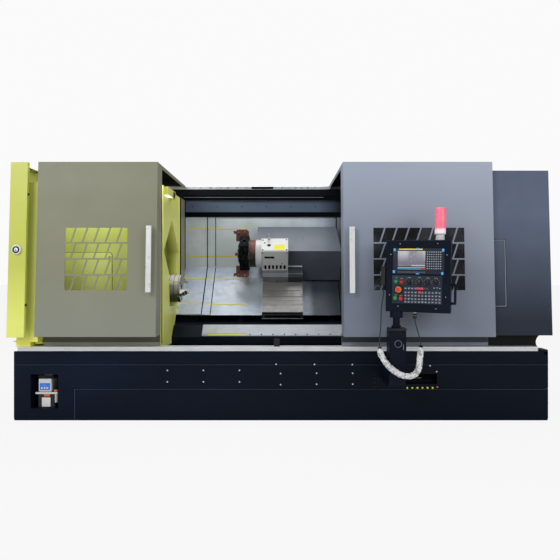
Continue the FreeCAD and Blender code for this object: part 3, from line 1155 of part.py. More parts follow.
def pendant_handle():
    half = CASE_WIDTH / 2
    z0, z1 = CASE_HANDLE_Z
    out = half + 40.0
    bar = 9.0
    spine = [V(half, 45, z0 + bar), V(out - bar, 45, z0 + bar), V(out - bar, 45, z1 - bar),
             V(half, 45, z1 - bar)]
    runs = [cylinder(spine[0], spine[1], bar), cylinder(spine[1], spine[2], bar),
            cylinder(spine[3], spine[2], bar)]
    corners = [Part.makeSphere(bar, point) for point in spine[1:3]]
    bosses = [cylinder(V(half, 45, z), V(half + 6, 45, z), 15.0) for z in (z0 + bar, z1 - bar)]
    return in_case(fuse(*(runs + corners + bosses)))


def hand_unit():
    """Slim handwheel box that hooks on the left side of the case."""
    x0, x1 = HAND_UNIT
    body = box(x0, x1, 14, 74, -76, 70)
    body = body.makeFillet(7.0, [edge for edge in body.Edges if edge.BoundBox.ZLength > 100])
    dial = cylinder(V((x0 + x1) / 2, 14, 28), V((x0 + x1) / 2, 4, 28), 16.0)
    relief = cylinder(HAND_PLUG, HAND_PLUG + V(0, 0, 24), 8.0)
    return in_case(body.fuse(dial)).fuse(relief)


def signal_lamp():
    foot = V(LAMP_SPOT_X, CASE_DEPTH / 2, CASE_HEIGHT / 2)
    base = cylinder(foot, foot + V(0, 0, LAMP_BASE_HEIGHT), 30.0)
    dome = cylinder(foot + V(0, 0, LAMP_BASE_HEIGHT), foot + V(0, 0, LAMP_HEIGHT), 40.0)
    dome = dome.makeChamfer(6.0, [edge for edge in dome.Edges if len(edge.Vertexes) == 1
                                  and edge.BoundBox.ZMin > foot.z + LAMP_HEIGHT - 1])
    return in_case(base.fuse(dome))


def cord_tube(route, radius):
    """Round tube along straight runs joined by arcs as large as the runs allow."""
    edges = []
    last = route[0]
    for before, point, after in zip(route, route[1:], route[2:]):
        into = (point - before)
        out = (after - point)
        turn = into.getAngle(out)
        setback = 0.45 * min(into.Length, out.Length)
        into.normalize()
        out.normalize()
        start = point - into * setback
        end = point + out * setback
        arc_radius = setback / math.tan(turn / 2)
        bisector = (out - into).normalize()
        middle = point + bisector * (arc_radius / math.cos(turn / 2) - arc_radius)
        edges.append(Part.LineSegment(last, start).toShape())
        edges.append(Part.Arc(start, middle, end).toShape())
        last = end
    edges.append(Part.LineSegment(last, route[-1]).toShape())
    path = Part.Wire(edges)
    circle = Part.Circle(route[0], (route[1] - route[0]).normalize(), radius).toShape()
    return path.makePipeShell([Part.Wire(circle)], True, False)


# ------------------------------------------------------------------ build
def build():
    save("base_frame", base_frame())
    save("coolant_tank", coolant_tank())
    save("levelling_feet", levelling_feet())
    save("lube_tank", lube_tank())
    save("lube_pump", lube_pump())
    save("bed", bed())
    save("guide_rails", guide_rails())
    save("tailstock_way", tailstock_way())
    save("z_covers_fixed", z_covers_fixed())
    save("z_cover_mid", z_cover_mid())
    save("z_screw", z_screw())
    save("headstock", headstock())
    save("spindle", spindle())
    save("spindle_pulley", spindle_pulley())
    save("motor_pulley", motor_pulley())
    save("spindle_motor", spindle_motor())
    save("drive_belt", drive_belt())
    save("chuck_body", chuck_body())
    for index in range(3):
        save("chuck_jaw_" + str(index + 1), chuck_jaw(index))
    save("saddle", saddle())
    for index in range(3):
        save("x_slat_" + str(index + 1), x_slat(index))
    save("turret_housing", turret_housing())
    save("turret_disc", turret_disc())
    save("tool_holders", tool_holders())
    save("turret_cover", turret_cover())
    save("tailstock", tailstock())
    save("quill", quill())
    save("left_door", door(LEFT_DOOR, True, LEFT_WINDOW, LEFT_BARS, LEFT_BAR_PITCH))
    save("left_door_glass", door_glass(LEFT_WINDOW))
    save("left_door_handle", door_handle(LEFT_HANDLE_X, LEFT_HANDLE_Z))
    save("right_door", door(RIGHT_DOOR, False, RIGHT_WINDOW, RIGHT_BARS, RIGHT_BAR_PITCH))
    save("right_door_glass", door_glass(RIGHT_WINDOW))
    save("right_door_handle", door_handle(RIGHT_HANDLE_X, RIGHT_HANDLE_Z))
    save("door_rails", door_rails())
    save("door_stop", door_stop())
    save("back_wall", back_wall())
    save("bulkhead", bulkhead())
    save("headstock_guard", headstock_guard())
    save("tail_cabinet", tail_cabinet())
    save("end_door", end_door())
    save("end_door_lock", end_door_lock())
    save("electric_cabinet", electric_cabinet())
    save("cabinet_door", cabinet_door())
    save("work_lamp", work_lamp())
    save("pendant_column", pendant_column())
    save("pendant_case", pendant_case())
    save("pendant_handle", pendant_handle())
    save("signal_lamp", signal_lamp())
    save("estop", estop())
    save("green_button", push_button(PUSH_SPOTS[0]))
    save("red_button", push_button(PUSH_SPOTS[1]))
    save("feed_knob", feed_knob())
    save("hand_unit", hand_unit())
    save("lead_exit", cord_tube(EXIT_ROUTE, LEAD_R))
    save("lead_sleeve", cord_tube(SLEEVE_ROUTE, SLEEVE_R))
    save("lead_rise", cord_tube(RISE_ROUTE, LEAD_R))


build()
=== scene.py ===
import json
import math

import bmesh
import bpy
from mathutils import Matrix, Vector

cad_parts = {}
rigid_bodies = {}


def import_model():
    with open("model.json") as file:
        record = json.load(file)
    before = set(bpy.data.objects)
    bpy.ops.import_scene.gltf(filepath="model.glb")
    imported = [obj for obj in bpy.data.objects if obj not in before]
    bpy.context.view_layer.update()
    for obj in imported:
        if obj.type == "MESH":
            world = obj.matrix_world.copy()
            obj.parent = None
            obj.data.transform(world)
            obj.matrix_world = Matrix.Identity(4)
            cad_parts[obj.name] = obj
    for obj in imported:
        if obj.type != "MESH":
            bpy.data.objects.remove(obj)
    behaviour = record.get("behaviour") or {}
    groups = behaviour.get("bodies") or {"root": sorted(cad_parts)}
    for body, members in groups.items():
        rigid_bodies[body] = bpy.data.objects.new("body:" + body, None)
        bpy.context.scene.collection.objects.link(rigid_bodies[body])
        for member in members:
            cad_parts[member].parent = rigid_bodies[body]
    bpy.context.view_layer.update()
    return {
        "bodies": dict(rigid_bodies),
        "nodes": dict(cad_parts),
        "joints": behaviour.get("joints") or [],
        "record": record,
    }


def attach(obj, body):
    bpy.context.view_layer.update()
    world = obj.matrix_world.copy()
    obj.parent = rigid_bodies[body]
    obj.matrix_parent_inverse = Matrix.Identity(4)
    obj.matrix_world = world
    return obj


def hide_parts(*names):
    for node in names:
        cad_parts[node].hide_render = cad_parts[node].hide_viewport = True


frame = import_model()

NODES = frame["nodes"]

# --- sizes shared with the solids, mm
Y_MID = 568.5               # depth of the row's middle behind the base front
DOOR_LOW, DOOR_HIGH = 683.0, 2056.0
FRONT_LOW_Y, FRONT_HIGH_Y = -125.0, -49.0
LEAN = (FRONT_HIGH_Y - FRONT_LOW_Y) / (DOOR_HIGH - DOOR_LOW)
FOLD_Y, FOLD_Z = 1250.0, 1235.0
SLOPE = math.sqrt(0.5)
AXIS_Y, AXIS_Z = 650.0, 1035.0
TURRET_Y, TURRET_Z = 980.0, 1365.0
CASE_CENTRE = (1005.0, -362.0, 1158.0)
CASE_TURN = Matrix.Rotation(math.radians(-20.0), 4, "Z") @ Matrix.Rotation(math.radians(0.8), 4, "Y")


def at(x, y, z):
    """Point of the row frame, in metres, from the part's own sizes."""
    return Vector((x, y - Y_MID, z)) / 1000


def front_y(z, set_back=0.0):
    return FRONT_LOW_Y + (z - DOOR_LOW) * LEAN + set_back


def on_bed(u, n):
    """(Y, Z) on the slant bed: u runs down the slope, n stands out of it."""
    return FOLD_Y - (u + n) * SLOPE, FOLD_Z + (n - u) * SLOPE


def basis(origin, side, up, out):
    """Frame whose local x, y and z are side, up and out, at a point of the part, in mm."""
    turn = Matrix((side, up, out)).transposed().to_4x4()
    return Matrix.Translation(Vector(origin)) @ turn


def out_by(frame, distance):
    """The same frame, moved outwards along its own z."""
    return frame @ Matrix.Translation((0, 0, distance))


FRONT_OUT = Vector((0, -1, LEAN)).normalized()
FRONT_UP = Vector((0, LEAN, 1)).normalized()
BED_OUT = Vector((0, -SLOPE, SLOPE))
BED_UP = Vector((0, SLOPE, SLOPE))


def on_front(x, z, set_back=0.0):
    """Frame on the leaning front: x to the right, y up it, z out of it."""
    return basis((x, front_y(z, set_back), z), (1, 0, 0), FRONT_UP, FRONT_OUT)


def on_slope(u, n):
    """Frame on the slant bed: x to the right, y up the slope, z out of it."""
    return basis((0, *on_bed(u, n)), (1, 0, 0), BED_UP, BED_OUT)


def on_wall(y, z=0, x=0):
    """Frame on an upright face that looks to the front."""
    return basis((x, y, z), (1, 0, 0), (0, 0, 1), (0, -1, 0))


def on_case(x, z, out=0.0):
    """Frame on the pendant's front, from its middle."""
    return Matrix.Translation(Vector(CASE_CENTRE)) @ CASE_TURN @ on_wall(-out, z, x)


def to_left(x, y, z):
    """Frame on an upright face that looks to the left."""
    return basis((x, y, z), (0, -1, 0), (0, 0, 1), (-1, 0, 0))


def to_right(x, y=0, z=0):
    """Frame on an upright face that looks to the right."""
    return basis((x, y, z), (0, 1, 0), (0, 0, 1), (1, 0, 0))


def on_rear(y):
    """Frame on an upright face that looks to the back; its local x is minus X."""
    return basis((0, y, 0), (-1, 0, 0), (0, 0, 1), (0, 1, 0))


AXIS_LEFT = to_left(0, AXIS_Y, AXIS_Z)
AXIS_RIGHT = to_right(0, AXIS_Y, AXIS_Z)


# --- materials
X, Y, Z = range(3)


def linear(code):
    """Scene-linear colour of a screen colour code."""
    values = [int(code[i:i + 2], 16) / 255 for i in (1, 3, 5)]
    return [v / 12.92 if v <= 0.04045 else ((v + 0.055) / 1.055) ** 2.4 for v in values] + [1.0]


class Finish:
    """A node-built material; every method adds one trait of the surface."""

    def __init__(self, name, colour, rough, metal=0.0):
        self.material = bpy.data.materials.new(name)
        self.material.use_nodes = True
        self.tree = self.material.node_tree
        self.shader = self.tree.nodes["Principled BSDF"]
        self.place = self.node("TexCoord").outputs["Object"]
        self.shader.inputs["Metallic"].default_value = metal
        self.shader.inputs["Roughness"].default_value = rough
        self.rough = rough
        self.colour = self.node("RGB").outputs[0]
        self.colour.default_value = linear(colour)
        self.bumps = None

    def node(self, kind, values=None, **settings):
        """A new node of a kind, the values of its inputs by name, and its settings."""
        made = self.tree.nodes.new("ShaderNode" + kind)
        for key, value in settings.items():
            setattr(made, key, value)
        for key, value in (values or {}).items():
            made.inputs[key].default_value = value
        return made

    def link(self, source, target):
        self.tree.links.new(source, target)

    def noise(self, scale, detail=3.0, stretch=(1, 1, 1), distortion=0.0):
        """Noise whose scale is in cells per metre."""
        mapping = self.node("Mapping", {"Scale": stretch})
        self.link(self.place, mapping.inputs["Vector"])
        made = self.node("TexNoise", {"Scale": scale, "Detail": detail, "Distortion": distortion})
        self.link(mapping.outputs[0], made.inputs["Vector"])
        return made.outputs["Fac"]

    def math(self, operation, first, second):
        """One calculation on two values, each a number or a socket."""
        made = self.node("Math", operation=operation)
        for socket, value in zip(made.inputs, (first, second)):
            if isinstance(value, (int, float)):
                socket.default_value = value
            else:
                self.link(value, socket)
        return made.outputs[0]

    def both(self, first, second):
        """Mask that is there where both masks are."""
        return self.math("MULTIPLY", first, second)

    def span(self, source, low, high, to_low=0.0, to_high=1.0):
        """The source with its range from low to high brought to another range."""
        made = self.node("MapRange", {"From Min": low, "From Max": high, "To Min": to_low, "To Max": to_high})
        self.link(source, made.inputs["Value"])
        return made.outputs["Result"]

    def blend(self, mask, colour):
        """A second colour where the mask is."""
        made = self.node("Mix", data_type="RGBA")
        made.inputs["B"].default_value = linear(colour)
        self.link(mask, made.inputs["Factor"])
        self.link(self.colour, made.inputs["A"])
        self.colour = made.outputs["Result"]
        return self

    def mottle(self, colour, scale, low, high, most, **how):
        """Patches of a second colour."""
        return self.blend(self.span(self.noise(scale, **how), low, high, 0.0, most), colour)

    def part_of(self, vector, axis, low, high, most):
        parts = self.node("SeparateXYZ")
        self.link(vector, parts.inputs[0])
        return self.span(parts.outputs[axis], low, high, 0.0, most)

    def along(self, axis, start, end, most=1.0):
        """Mask that grows along one axis, between two places in metres."""
        return self.part_of(self.place, axis, start, end, most)

    def facing_up(self, low, high, most):
        """Mask that grows with how much the surface looks upwards."""
        return self.part_of(self.node("NewGeometry").outputs["Normal"], Z, low, high, most)

    def fade(self, colour, axis, start, end, most=1.0):
        """A second colour that comes in along one axis."""
        return self.blend(self.along(axis, start, end, most), colour)

    def topside(self, colour, most=1.0, low=0.3, high=0.8):
        """A second colour on what looks upwards, or downwards where high is below low."""
        return self.blend(self.facing_up(low, high, most), colour)

    def satin(self, scale, spread, **how):
        """Roughness that varies by plus or minus spread."""
        sheen = self.span(self.noise(scale, **how), 0.3, 0.7, self.rough - spread, self.rough + spread)
        self.link(sheen, self.shader.inputs["Roughness"])
        return self

    def bump(self, scale, depth, stretch=(1, 1, 1), detail=3.0):
        """Relief whose depth is in millimetres."""
        made = self.node("Bump", {"Distance": depth / 1000, "Strength": 1.0})
        self.link(self.noise(scale, detail, stretch), made.inputs["Height"])
        if self.bumps is not None:
            self.link(self.bumps, made.inputs["Normal"])
        self.bumps = made.outputs[0]
        return self

    def rounded(self, radius):
        """Direction of the surface with its edges rounded, in millimetres."""
        return self.node("Bevel", {"Radius": radius / 1000}, samples=3).outputs[0]

    def soft_edges(self, radius):
        """Edges that catch the light as if they were rounded by a radius in millimetres."""
        self.bumps = self.rounded(radius)
        return self

    def edge_wear(self, colour, radius, most):
        """A second colour where the surface turns sharply within a radius in millimetres."""
        product = self.node("VectorMath", operation="DOT_PRODUCT")
        self.link(self.rounded(radius), product.inputs[0])
        self.link(self.node("NewGeometry").outputs["Normal"], product.inputs[1])
        edge = self.span(product.outputs["Value"], 0.985, 0.80, 0.0, most)
        chips = self.span(self.noise(90, 4.0), 0.42, 0.6)
        return self.blend(self.both(edge, chips), colour)

    def set(self, name, value):
        self.shader.inputs[name].default_value = value
        return self

    def dull(self, level):
        """How much of the plain mirror-like sheen is left."""
        return self.set("Specular IOR Level", level)

    def lit(self, strength):
        """The surface also gives off its own colour."""
        self.link(self.colour, self.shader.inputs["Emission Color"])
        return self.set("Emission Strength", strength)

    def shows(self, amount, under, over):
        """What the surface shows in the end: one shader under another."""
        mix = self.node("MixShader")
        for source, target in zip((amount, under, over), mix.inputs):
            self.link(source, target)
        self.link(mix.outputs[0], self.tree.nodes["Material Output"].inputs["Surface"])

    def done(self):
        """The finished material."""
        self.link(self.colour, self.shader.inputs["Base Color"])
        if self.bumps is not None:
            self.link(self.bumps, self.shader.inputs["Normal"])
        return self.material


def enamel(name, colour, dark, light, rough, grain=0.06, edge=2.0):
    """Powder coat: faint orange peel, uneven sheen and lighter or darker clouds."""
    coat = Finish(name, colour, rough).soft_edges(edge)
    coat.mottle(dark, 1.7, 0.45, 0.75, 0.5, detail=4.0).mottle(light, 2.9, 0.5, 0.8, 0.5, detail=4.0)
    coat.satin(5.0, 0.06)
    return coat.bump(260, grain, detail=2.0)


def bare_metal(name, colour, dark, rough, metal, edge, marks, stretch=(1, 1, 1)):
    """Machined metal with tool marks along one direction and stained patches."""
    steel = Finish(name, colour, rough, metal).soft_edges(edge)
    steel.mottle(dark, 9.0, 0.45, 0.8, marks, detail=5.0)
    steel.mottle(dark, 160, 0.35, 0.75, 0.35, stretch=stretch, detail=2.0)
    steel.satin(24, 0.09, detail=4.0)
    return steel.bump(60, 0.02, stretch)


def plastic(name, colour, rough, grain, light):
    """Moulded plastic or rubber: fine grain and softly lighter patches."""
    body = Finish(name, colour, rough).soft_edges(0.8)
    return body.mottle(light, 14, 0.4, 0.8, 0.5).satin(30, 0.05).bump(700, grain)


def blank(name, colour, rough):
    """Smooth plain plate or film, with faint dust."""
    film = Finish(name, colour, rough).mottle("#FFFFFF", 60, 0.55, 0.8, 0.12)
    return film.satin(40, 0.08).bump(300, 0.01)


ALONG = (0.06, 1, 1)        # marks that run along X
lime = enamel("lime_coat", "#D2D960", "#C6CE55", "#DDE46E", 0.38).fade("#F4F97E", Z, 1.25, 0.8)
# The guard's coat turns lighter towards the bottom: painted light where the guard is in shade.
lime_guard = enamel("guard_coat", "#DCE170", "#CDD25F", "#E8EE80", 0.42).fade("#FFFF7A", Z, 0.74, 0.64)
lime_bulkhead = enamel("bulkhead_coat", "#F6F98A", "#E6EB74", "#FDFE98", 0.45)
# Painted shade: the bulkhead darkens deeper into the pocket by the chuck.
lime_bulkhead.fade("#7F8526", X, -0.992, -1.075, 0.9)
olive = enamel("olive_coat", "#8C8D77", "#868770", "#94957F", 0.48)
olive.fade("#8F948B", Z, 1.25, 0.6, 0.8)
grey_door = enamel("door_coat", "#757D8D", "#6B7383", "#81899A", 0.46)
grey_door.fade("#A9B3C6", Z, 1.05, 2.0).mottle("#98A2B4", 1.1, 0.5, 0.85, 0.5, detail=2.0)
slate = enamel("cabinet_coat", "#5E6A80", "#525E74", "#6C788E", 0.46).dull(0.2)
# The cabinet coat darkens towards the bottom, which is painted shade, and goes near-black below about 0.69 m.
slate.fade("#1E2533", Z, 1.65, 0.8, 0.95).fade("#05070A", Z, 0.692, 0.686, 0.96)
navy = enamel("base_coat", "#0C1526", "#08101C", "#121D31", 0.38, 0.09)
navy.mottle("#18253B", 3.3, 0.55, 0.85, 0.5, stretch=(0.3, 1, 1)).dull(0.1)
navy.fade("#07101B", X, -1.3, 0.4, 0.75)
wall_coat = enamel("wall_coat", "#68778C", "#56647A", "#78879C", 0.4).dull(0.06)
wall_coat.fade("#040608", Z, 1.905, 1.912, 0.95)
# Painted shadow of the right hood: the wall's front face darkens towards its right end.
wall_coat.blend(wall_coat.both(wall_coat.along(X, 0.38, 0.6, 0.9), wall_coat.along(Y, 0.75, 0.72)), "#06090D")
steel_cover = bare_metal("cover_sheet", "#C3CEDF", "#909CAD", 0.4, 0.25, 0.6, 0.6, ALONG)
steel_cover.mottle("#E2E9F2", 1.9, 0.42, 0.72, 0.8, detail=3.0, distortion=0.6)
steel_cover.mottle("#6C7683", 3.6, 0.6, 0.9, 0.5, detail=6.0)
slope_shade = steel_cover.both(steel_cover.along(X, 0.1, 0.32), steel_cover.facing_up(0.3, 0.6, 0.96))
steel_cover.blend(slope_shade, "#323A44")
# Painted light: upright cover faces towards the left of about X 0.2 m are paler.
upright_painted_light = steel_cover.both(steel_cover.along(X, 0.5, 0.2), steel_cover.facing_up(0.5, 0.2, 0.92))
steel_cover.blend(upright_painted_light, "#EAF4FB")
steel_cover.mottle("#8D99A5", 2.6, 0.55, 0.8, 0.45, detail=5.0)
# Painted shadow of the right hood: the covers darken towards their right end.
steel_cover.fade("#1D242D", X, 0.42, 0.62, 0.85)
rail_steel = bare_metal("rail_sheet", "#E6E8EA", "#BDC1C6", 0.4, 0.3, 0.8, 0.4, ALONG)
# Painted shadow: the rear rail goes near-black where it runs under the right hood.
rail_steel.blend(rail_steel.both(rail_steel.along(X, 0.42, 0.5, 0.95), rail_steel.along(Y, 0.5, 0.55)), "#0A0C10")
way_steel = bare_metal("way_steel", "#B4B9C0", "#8C9299", 0.42, 0.25, 0.6, 0.4, ALONG)
iron = enamel("casting_coat", "#0C1522", "#080E17", "#162231", 0.5, 0.3).dull(0.15)
ground = bare_metal("ground_steel", "#A9ABAD", "#7B7E82", 0.22, 1.0, 0.5, 0.3, ALONG)
turned = bare_metal("turned_steel", "#C9CAC8", "#7A776E", 0.26, 0.75, 0.5, 0.6, (1, 0.04, 0.04))
chuck_metal = bare_metal("chuck_metal", "#BDBDB5", "#66645A", 0.3, 0.25, 0.6, 0.7, (1, 0.04, 0.04))
# Painted highlight on the chuck's upward faces and painted shade on its downward faces.
chuck_metal.topside("#FFFFFA", 1.0, 0.2, 0.6).topside("#2E2D22", 0.9, 0.1, -0.5)
black_oxide = bare_metal("black_oxide", "#08090B", "#030304", 0.5, 0.1, 0.8, 0.5).bump(90, 0.25)
black_oxide.dull(0.05).mottle("#3A3D42", 70, 0.56, 0.66, 0.8)
holder_iron = bare_metal("holder_iron", "#663832", "#3F211E", 0.42, 0.25, 1.2, 0.7)
holder_iron.mottle("#8B5048", 30, 0.55, 0.8, 0.6)
# Painted light: the housing's upward faces are lighter.
turret_coat = enamel("turret_coat", "#CDD0D0", "#BBBEBE", "#DADDDD", 0.42, 0.1, 3.0).topside("#E4E8E6")
turret_coat.edge_wear("#8D8B84", 3.0, 0.5)
# Painted light: the cover's upward faces are lighter.
turret_box = enamel("turret_cover_coat", "#4C525B", "#3F454E", "#5A606A", 0.4).topside("#727B87")
turret_box.mottle("#5E6772", 4.5, 0.5, 0.75, 0.5, detail=6.0)
slat = bare_metal("slat_sheet", "#8F8D8B", "#6C6A68", 0.38, 0.4, 0.5, 0.5, ALONG)
black_coat = enamel("black_coat", "#0B1323", "#070D18", "#131D31", 0.42, 0.12).dull(0.12)
chrome = bare_metal("satin_metal", "#F2F4F4", "#D8DADC", 0.34, 0.3, 1.0, 0.2, (1, 1, 0.05))
rubber = plastic("black_rubber", "#0F1012", 0.7, 0.1, "#1B1D20")
dark_plastic = plastic("dark_plastic", "#101215", 0.42, 0.06, "#1A1D21")
red_cap = plastic("red_cap", "#D3201C", 0.3, 0.02, "#E23A30")
green_cap = plastic("green_cap", "#109A4B", 0.3, 0.02, "#2DB566")
orange_cap = plastic("orange_cap", "#E8682A", 0.34, 0.02, "#F08A3A")
stop_cap = plastic("stop_cap", "#DE3A30", 0.3, 0.02, "#EA5548")
yellow_ring = plastic("yellow_ring", "#E9A21E", 0.4, 0.03, "#F2B63A")
sight_yellow = plastic("sight_yellow", "#F6F23A", 0.3, 0.02, "#FFFF70")
belt = plastic("belt_rubber", "#191A1B", 0.8, 0.2, "#242526")
signal_dome = Finish("signal_dome", "#F0607E", 0.28).mottle("#FF9CB0", 12, 0.4, 0.75, 0.6)
signal_dome.mottle("#D8365C", 4.0, 0.5, 0.8, 0.4).fade("#F3EAED", Z, 1.514, 1.498, 0.92)
signal_dome.satin(20, 0.05).bump(120, 0.2, (1, 1, 0.1)).lit(0.25)
white_plastic = plastic("white_plastic", "#D9DADB", 0.36, 0.03, "#E8E8E8")
yellow_tape = blank("yellow_strip", "#F2E61E", 0.5)
lamp_glow = Finish("lamp_glow", "#FFFFFF", 0.3).satin(30, 0.05)
lamp_glow.set("Emission Color", (1, 1, 1, 1)).set("Emission Strength", 0.9)


def window_pane(name, tint):
    """Clear sheet: mostly see-through, with a gloss that grows at a slant and faint wiping marks."""
    pane = Finish(name, "#E9EEF0", 0.06).satin(6.0, 0.04)
    clear = pane.node("BsdfTransparent", {"Color": linear(tint)})
    gloss = pane.node("Fresnel", {"IOR": 1.35})
    marks = pane.span(pane.noise(5.0), 0.5, 0.9, 0.0, 0.08)
    amount = pane.math("ADD", pane.math("MULTIPLY", gloss.outputs[0], 0.9), marks)
    pane.shows(amount, clear.outputs[0], pane.shader.outputs[0])
    return pane


NODE_FINISH = {
    navy: ["base_frame", "coolant_tank"],
    turned: ["levelling_feet", "spindle", "quill"],
    chuck_metal: ["chuck_body", "chuck_jaw_1", "chuck_jaw_2", "chuck_jaw_3"],
    iron: ["bed", "headstock", "spindle_pulley", "motor_pulley"],
    ground: ["guide_rails", "z_screw"],
    way_steel: ["tailstock_way"],
    steel_cover: ["z_covers_fixed", "z_cover_mid", "saddle"],
    rail_steel: ["door_rails"],
    slat: ["x_slat_1", "x_slat_2", "x_slat_3"],
    turret_coat: ["turret_housing"],
    turret_box: ["turret_cover"],
    black_oxide: ["turret_disc"],
    holder_iron: ["tool_holders"],
    olive: ["left_door"],
    grey_door: ["right_door"],
    lime: ["end_door"],
    lime_guard: ["headstock_guard"],
    lime_bulkhead: ["bulkhead"],
    wall_coat: ["back_wall"],
    slate: ["tail_cabinet", "tailstock", "electric_cabinet", "cabinet_door"],
    chrome: ["left_door_handle", "right_door_handle", "end_door_lock"],
    black_coat: ["pendant_column", "pendant_case", "spindle_motor", "pendant_handle"],
    dark_plastic: ["feed_knob", "hand_unit", "lube_tank"],
    rubber: ["door_stop"],
    belt: ["drive_belt"],
    red_cap: ["red_button"],
    green_cap: ["green_button"],
    stop_cap: ["estop"],
    signal_dome: ["signal_lamp"],
    white_plastic: ["lube_pump"],
    lamp_glow: ["work_lamp"],
    window_pane("left_door_glass_pane", "#F2F4F2"): ["left_door_glass"],
    window_pane("right_door_glass_pane", "#8E979F"): ["right_door_glass"],
}
for finish, names in NODE_FINISH.items():
    for name in names:
        for slot in NODES[name].material_slots:
            slot.material = finish.done()


# --- mesh building
def add_object(name, data):
    made = bpy.data.objects.new(name, data)
    bpy.context.scene.collection.objects.link(made)
    return made


TO_ROW = Matrix.Scale(0.001, 4) @ Matrix.Translation(Vector((0, -Y_MID, 0)))


class Build:
    """Small parts gathered in one mesh that rides one body. Each part is made in a frame of its own, in mm."""
    begun = []
    BEVEL_FROM, SHARP_FROM = 0.6, math.radians(38)      # the least turn of an edge that is bevelled, or shaded sharp

    def __init__(self, name, body, slot, *finishes):
        self.name, self.body, self.slot, self.finishes = name, body, slot, finishes
        self.mesh = bmesh.new()
        Build.begun.append(self)

    def place(self, points, faces, frame, material, bevel=0.0):
        """Adds one part; material is the place of its finish among the piece's."""
        part = bmesh.new()
        corners = [part.verts.new(frame @ Vector(point)) for point in points]
        for face in faces:
            part.faces.new([corners[i] for i in face])
        bmesh.ops.recalc_face_normals(part, faces=part.faces)
        if bevel:
            sharp = [edge for edge in part.edges if edge.is_manifold and edge.calc_face_angle() > self.BEVEL_FROM]
            bmesh.ops.bevel(part, geom=sharp, offset=bevel, segments=2, profile=0.6, affect="EDGES")
        for face in part.faces:
            face.material_index = material
        block = bpy.data.meshes.new("block")
        part.to_mesh(block)
        part.free()
        self.mesh.from_mesh(block)
        bpy.data.meshes.remove(block)

    def block(self, frame, xs, ys, zs, material=0, bevel=0.0):
        """Box between two places along each local axis."""
        points = [(x, y, z) for z in zs for y in ys for x in xs]
        faces = [(0, 2, 3, 1), (4, 5, 7, 6), (0, 1, 5, 4), (2, 6, 7, 3), (0, 4, 6, 2), (1, 3, 7, 5)]
        self.place(points, faces, frame, material, bevel)

    def plate(self, frame, outline, low, high, material=0, bevel=0.0):
        """Flat piece with an outline in local x and y, from one height to another."""
        count = len(outline)
        points = [(x, y, z) for z in (low, high) for x, y in outline]
        faces = [tuple(range(count))[::-1], tuple(range(count, 2 * count))]
        faces += [(i, (i + 1) % count, (i + 1) % count + count, i + count) for i in range(count)]
        self.place(points, faces, frame, material, bevel)

    def panel(self, frame, box, low, high, material=0, bevel=0.0):
        """Plate whose outline is a box: x0, x1, y0, y1 and the radius of its corners, if any."""
        self.plate(frame, box_outline(*box), low, high, material, bevel)

    def tiles(self, frame, spots, size, *how):
        """Equal small panels round some spots; size is half the width, half the height and the radius."""
        half_x, half_y, *round_by = size
        for x, y in spots:
            self.panel(frame, (x - half_x, x + half_x, y - half_y, y + half_y, *round_by), *how)

    def lathe(self, frame, profile, material=0, sides=24, centre=(0, 0)):
        """Turned piece round the local z axis; the profile is a list of (radius, height)."""
        points, rings = [], []
        for radius, height in profile:
            if radius <= 0:
                rings.append([len(points)])
                points.append((centre[0], centre[1], height))
                continue
            rings.append(range(len(points), len(points) + sides))
            points += [(centre[0] + x, centre[1] + y, height) for x, y in ring_of(sides, radius)]
        faces = []
        for low, high in zip(rings, rings[1:]):
            for i in range(sides):
                j = (i + 1) % sides
                corners = [low[i % len(low)], low[j % len(low)], high[j % len(high)], high[i % len(high)]]
                faces.append(list(dict.fromkeys(corners)))
        self.place(points, faces, frame, material)

    def tube(self, rings, material=0, frame=Matrix.Identity(4)):
        """Closed skin over rings of points, with as many points in each."""
        sides, last = len(rings[0]), len(rings) * len(rings[0])
        faces = [tuple(range(sides)), tuple(range(last - sides, last))]
        for first in range(0, last - sides, sides):
            for k in range(sides):
                after = (k + 1) % sides
                faces.append((first + k, first + after, first + sides + after, first + sides + k))
        self.place([point for ring in rings for point in ring], faces, frame, material)

    def sweep(self, frame, route, radius, material):
        """Round bar along a line of points."""
        sides = 10
        spots, rings = [Vector(point) for point in route], []
        for spot, ahead in zip(spots, headings(spots)):
            side = ahead.cross(Vector((0.13, 0.97, 0.2))).normalized()
            up = ahead.cross(side)
            rings.append([spot + side * x + up * y for x, y in ring_of(sides, radius)])
        self.tube(rings, material, frame)

    def screws(self, frame, spots, radius, height, material=0):
        """Socket-head screws: a turned head with a hollow in its middle."""
        rim = min(0.6, height * 0.3)
        head = [(radius, -0.4), (radius, height - rim), (radius - rim, height), (radius * 0.55, height),
                (radius * 0.5, height * 0.35), (0, height * 0.3)]
        for spot in spots:
            self.lathe(frame, head, material, 18, spot)

    def end(self):
        """The finished piece."""
        mesh = bpy.data.meshes.new(self.name)
        self.mesh.transform(TO_ROW)
        self.mesh.to_mesh(mesh)
        self.mesh.free()
        for finish in self.finishes:
            mesh.materials.append(finish.done())
        for face in mesh.polygons:
            face.use_smooth = True
        mesh.set_sharp_from_angle(angle=self.SHARP_FROM)
        piece = add_object(self.name, mesh)
        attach(piece, self.body)
        return piece


def grid(xs, ys):
    """Every spot of a rectangular pattern."""
    return [(x, y) for x in xs for y in ys]


def ring_of(count, radius, start=0.0):
    """Spots spread evenly round a circle."""
    return [(radius * math.cos(start + math.tau * i / count), radius * math.sin(start + math.tau * i / count))
            for i in range(count)]


def headings(spots):
    """Direction of a line of points at each of them."""
    return [(ahead - behind).normalized() for behind, ahead in zip(spots[:1] + spots, spots[1:] + spots[-1:])]


